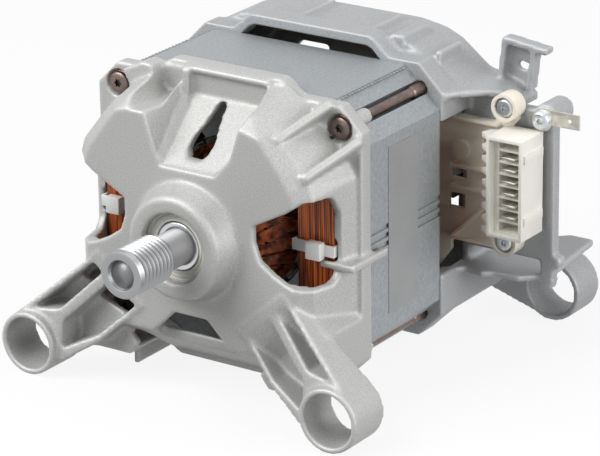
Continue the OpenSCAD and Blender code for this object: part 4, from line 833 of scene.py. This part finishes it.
def add_floor(glow):
    bpy.ops.mesh.primitive_plane_add(size=4.0, location=(0, 0, 0))
    floor = bpy.context.object
    floor.name = "studio_floor"
    floor.data.transform(Matrix.Translation((0, 0, CAD_BOX[0][2] - 0.2 * MM)))
    material = bpy.data.materials.new("Pale floor")
    material.use_nodes = True
    tree = material.node_tree
    tree.nodes.clear()
    diffuse = tree.nodes.new("ShaderNodeBsdfDiffuse")
    paleness = tree.nodes.new("ShaderNodeMapRange")
    paleness.inputs["To Min"].default_value = 0.16
    paleness.inputs["To Max"].default_value = 0.9
    tree.links.new(paleness.outputs["Result"], diffuse.inputs["Color"])
    white = tree.nodes.new("ShaderNodeEmission")
    mix = tree.nodes.new("ShaderNodeMixShader")
    share = tree.nodes.new("ShaderNodeMath")
    share.operation = "MULTIPLY"
    share.inputs[1].default_value = glow
    out = tree.nodes.new("ShaderNodeOutputMaterial")
    seen = seen_directly(tree)
    tree.links.new(seen, share.inputs[0])
    tree.links.new(seen, paleness.inputs["Value"])
    tree.links.new(share.outputs[0], mix.inputs["Fac"])
    tree.links.new(diffuse.outputs[0], mix.inputs[1])
    tree.links.new(white.outputs[0], mix.inputs[2])
    tree.links.new(mix.outputs[0], out.inputs["Surface"])
    set_material(floor, material)

    world = bpy.data.worlds.new("Studio")
    bpy.context.scene.world = world
    world.use_nodes = True
    tree = world.node_tree
    tree.nodes.clear()
    soft = tree.nodes.new("ShaderNodeBackground")
    soft.inputs["Strength"].default_value = 0.13
    bright = tree.nodes.new("ShaderNodeBackground")
    bright.inputs["Color"].default_value = (1, 1, 1, 1)
    bright.inputs["Strength"].default_value = 1.0
    mix = tree.nodes.new("ShaderNodeMixShader")
    out = tree.nodes.new("ShaderNodeOutputWorld")
    tree.links.new(seen_directly(tree), mix.inputs["Fac"])
    tree.links.new(soft.outputs[0], mix.inputs[1])
    tree.links.new(bright.outputs[0], mix.inputs[2])
    tree.links.new(mix.outputs[0], out.inputs["Surface"])


def add_light(name, place, target, size, power):
    light = bpy.data.lights.new(name, "AREA")
    light.shape = "RECTANGLE"
    light.size, light.size_y = size
    light.energy = power
    lamp = bpy.data.objects.new(name, light)
    bpy.context.scene.collection.objects.link(lamp)
    lamp.location = place
    lamp.rotation_mode = "QUATERNION"
    lamp.rotation_quaternion = (Vector(target) - Vector(place)).to_track_quat("-Z", "Y")


def add_lights(key, fill):
    centre = (0.0, 0.08, 0.0)
    add_light("key softbox", (-0.6, -0.75, 1.0), centre, (1.1, 1.1), key)
    add_light("top softbox", (0.1, 0.5, 1.2), centre, (1.2, 0.9), key * 0.12)
    add_light("side softbox", (1.3, 0.1, 0.45), centre, (1.4, 1.0), fill)


CAMERA_PLACE = (0.75398, -0.98942, 0.48232)
CAMERA_RIGHT = (0.82747607, 0.56134141, -0.01338528)
CAMERA_DOWN = (0.18737157, -0.29852036, -0.93582984)
CAMERA_FORWARD = (-0.52931582, 0.77186878, -0.35219788)


def add_camera(lens):
    data = bpy.data.cameras.new("photograph")
    data.sensor_width = 36.0
    data.lens = lens
    data.clip_start, data.clip_end = 0.05, 20.0
    camera = bpy.data.objects.new("photograph", data)
    bpy.context.scene.collection.objects.link(camera)
    columns = (CAMERA_RIGHT, [-v for v in CAMERA_DOWN], [-v for v in CAMERA_FORWARD])
    turn = Matrix(columns).transposed().to_4x4()
    camera.matrix_world = Matrix.Translation(CAMERA_PLACE) @ turn
    bpy.context.scene.camera = camera


class MOTOR_PT_panel(bpy.types.Panel):
    bl_idname = "MOTOR_PT_panel"
    bl_label = "Washing machine motor"
    bl_space_type = "VIEW_3D"
    bl_region_type = "UI"
    bl_category = "Motor"

    def draw(self, context):
        for step in STEPS:
            self.layout.operator(step)


STEPS = ("motor.finishes", "motor.castings", "motor.field_coils", "motor.armature_heads",
    "motor.turned_pieces", "motor.small_pieces", "motor.welds", "motor.stage")
SETTINGS = (("motor_casting", CastingSettings), ("motor_winding", WindingSettings),
    ("motor_stage", StageSettings))
CLASSES = (CastingSettings, WindingSettings, StageSettings, MOTOR_OT_finishes, MOTOR_OT_castings,
    MOTOR_OT_field_coils, MOTOR_OT_armature_heads, MOTOR_OT_turned_pieces, MOTOR_OT_small_pieces,
    MOTOR_OT_welds, MOTOR_OT_stage, MOTOR_PT_panel)


def register():
    for kind in CLASSES:
        bpy.utils.register_class(kind)
    for name, kind in SETTINGS:
        setattr(bpy.types.Scene, name, bpy.props.PointerProperty(type=kind))


def unregister():
    for name, _ in SETTINGS:
        delattr(bpy.types.Scene, name)
    for kind in reversed(CLASSES):
        bpy.utils.unregister_class(kind)


def main():
    register()
    for step in STEPS:
        group, action = step.split(".")
        getattr(getattr(bpy.ops, group), action)()


if __name__ == "__main__":
    main()
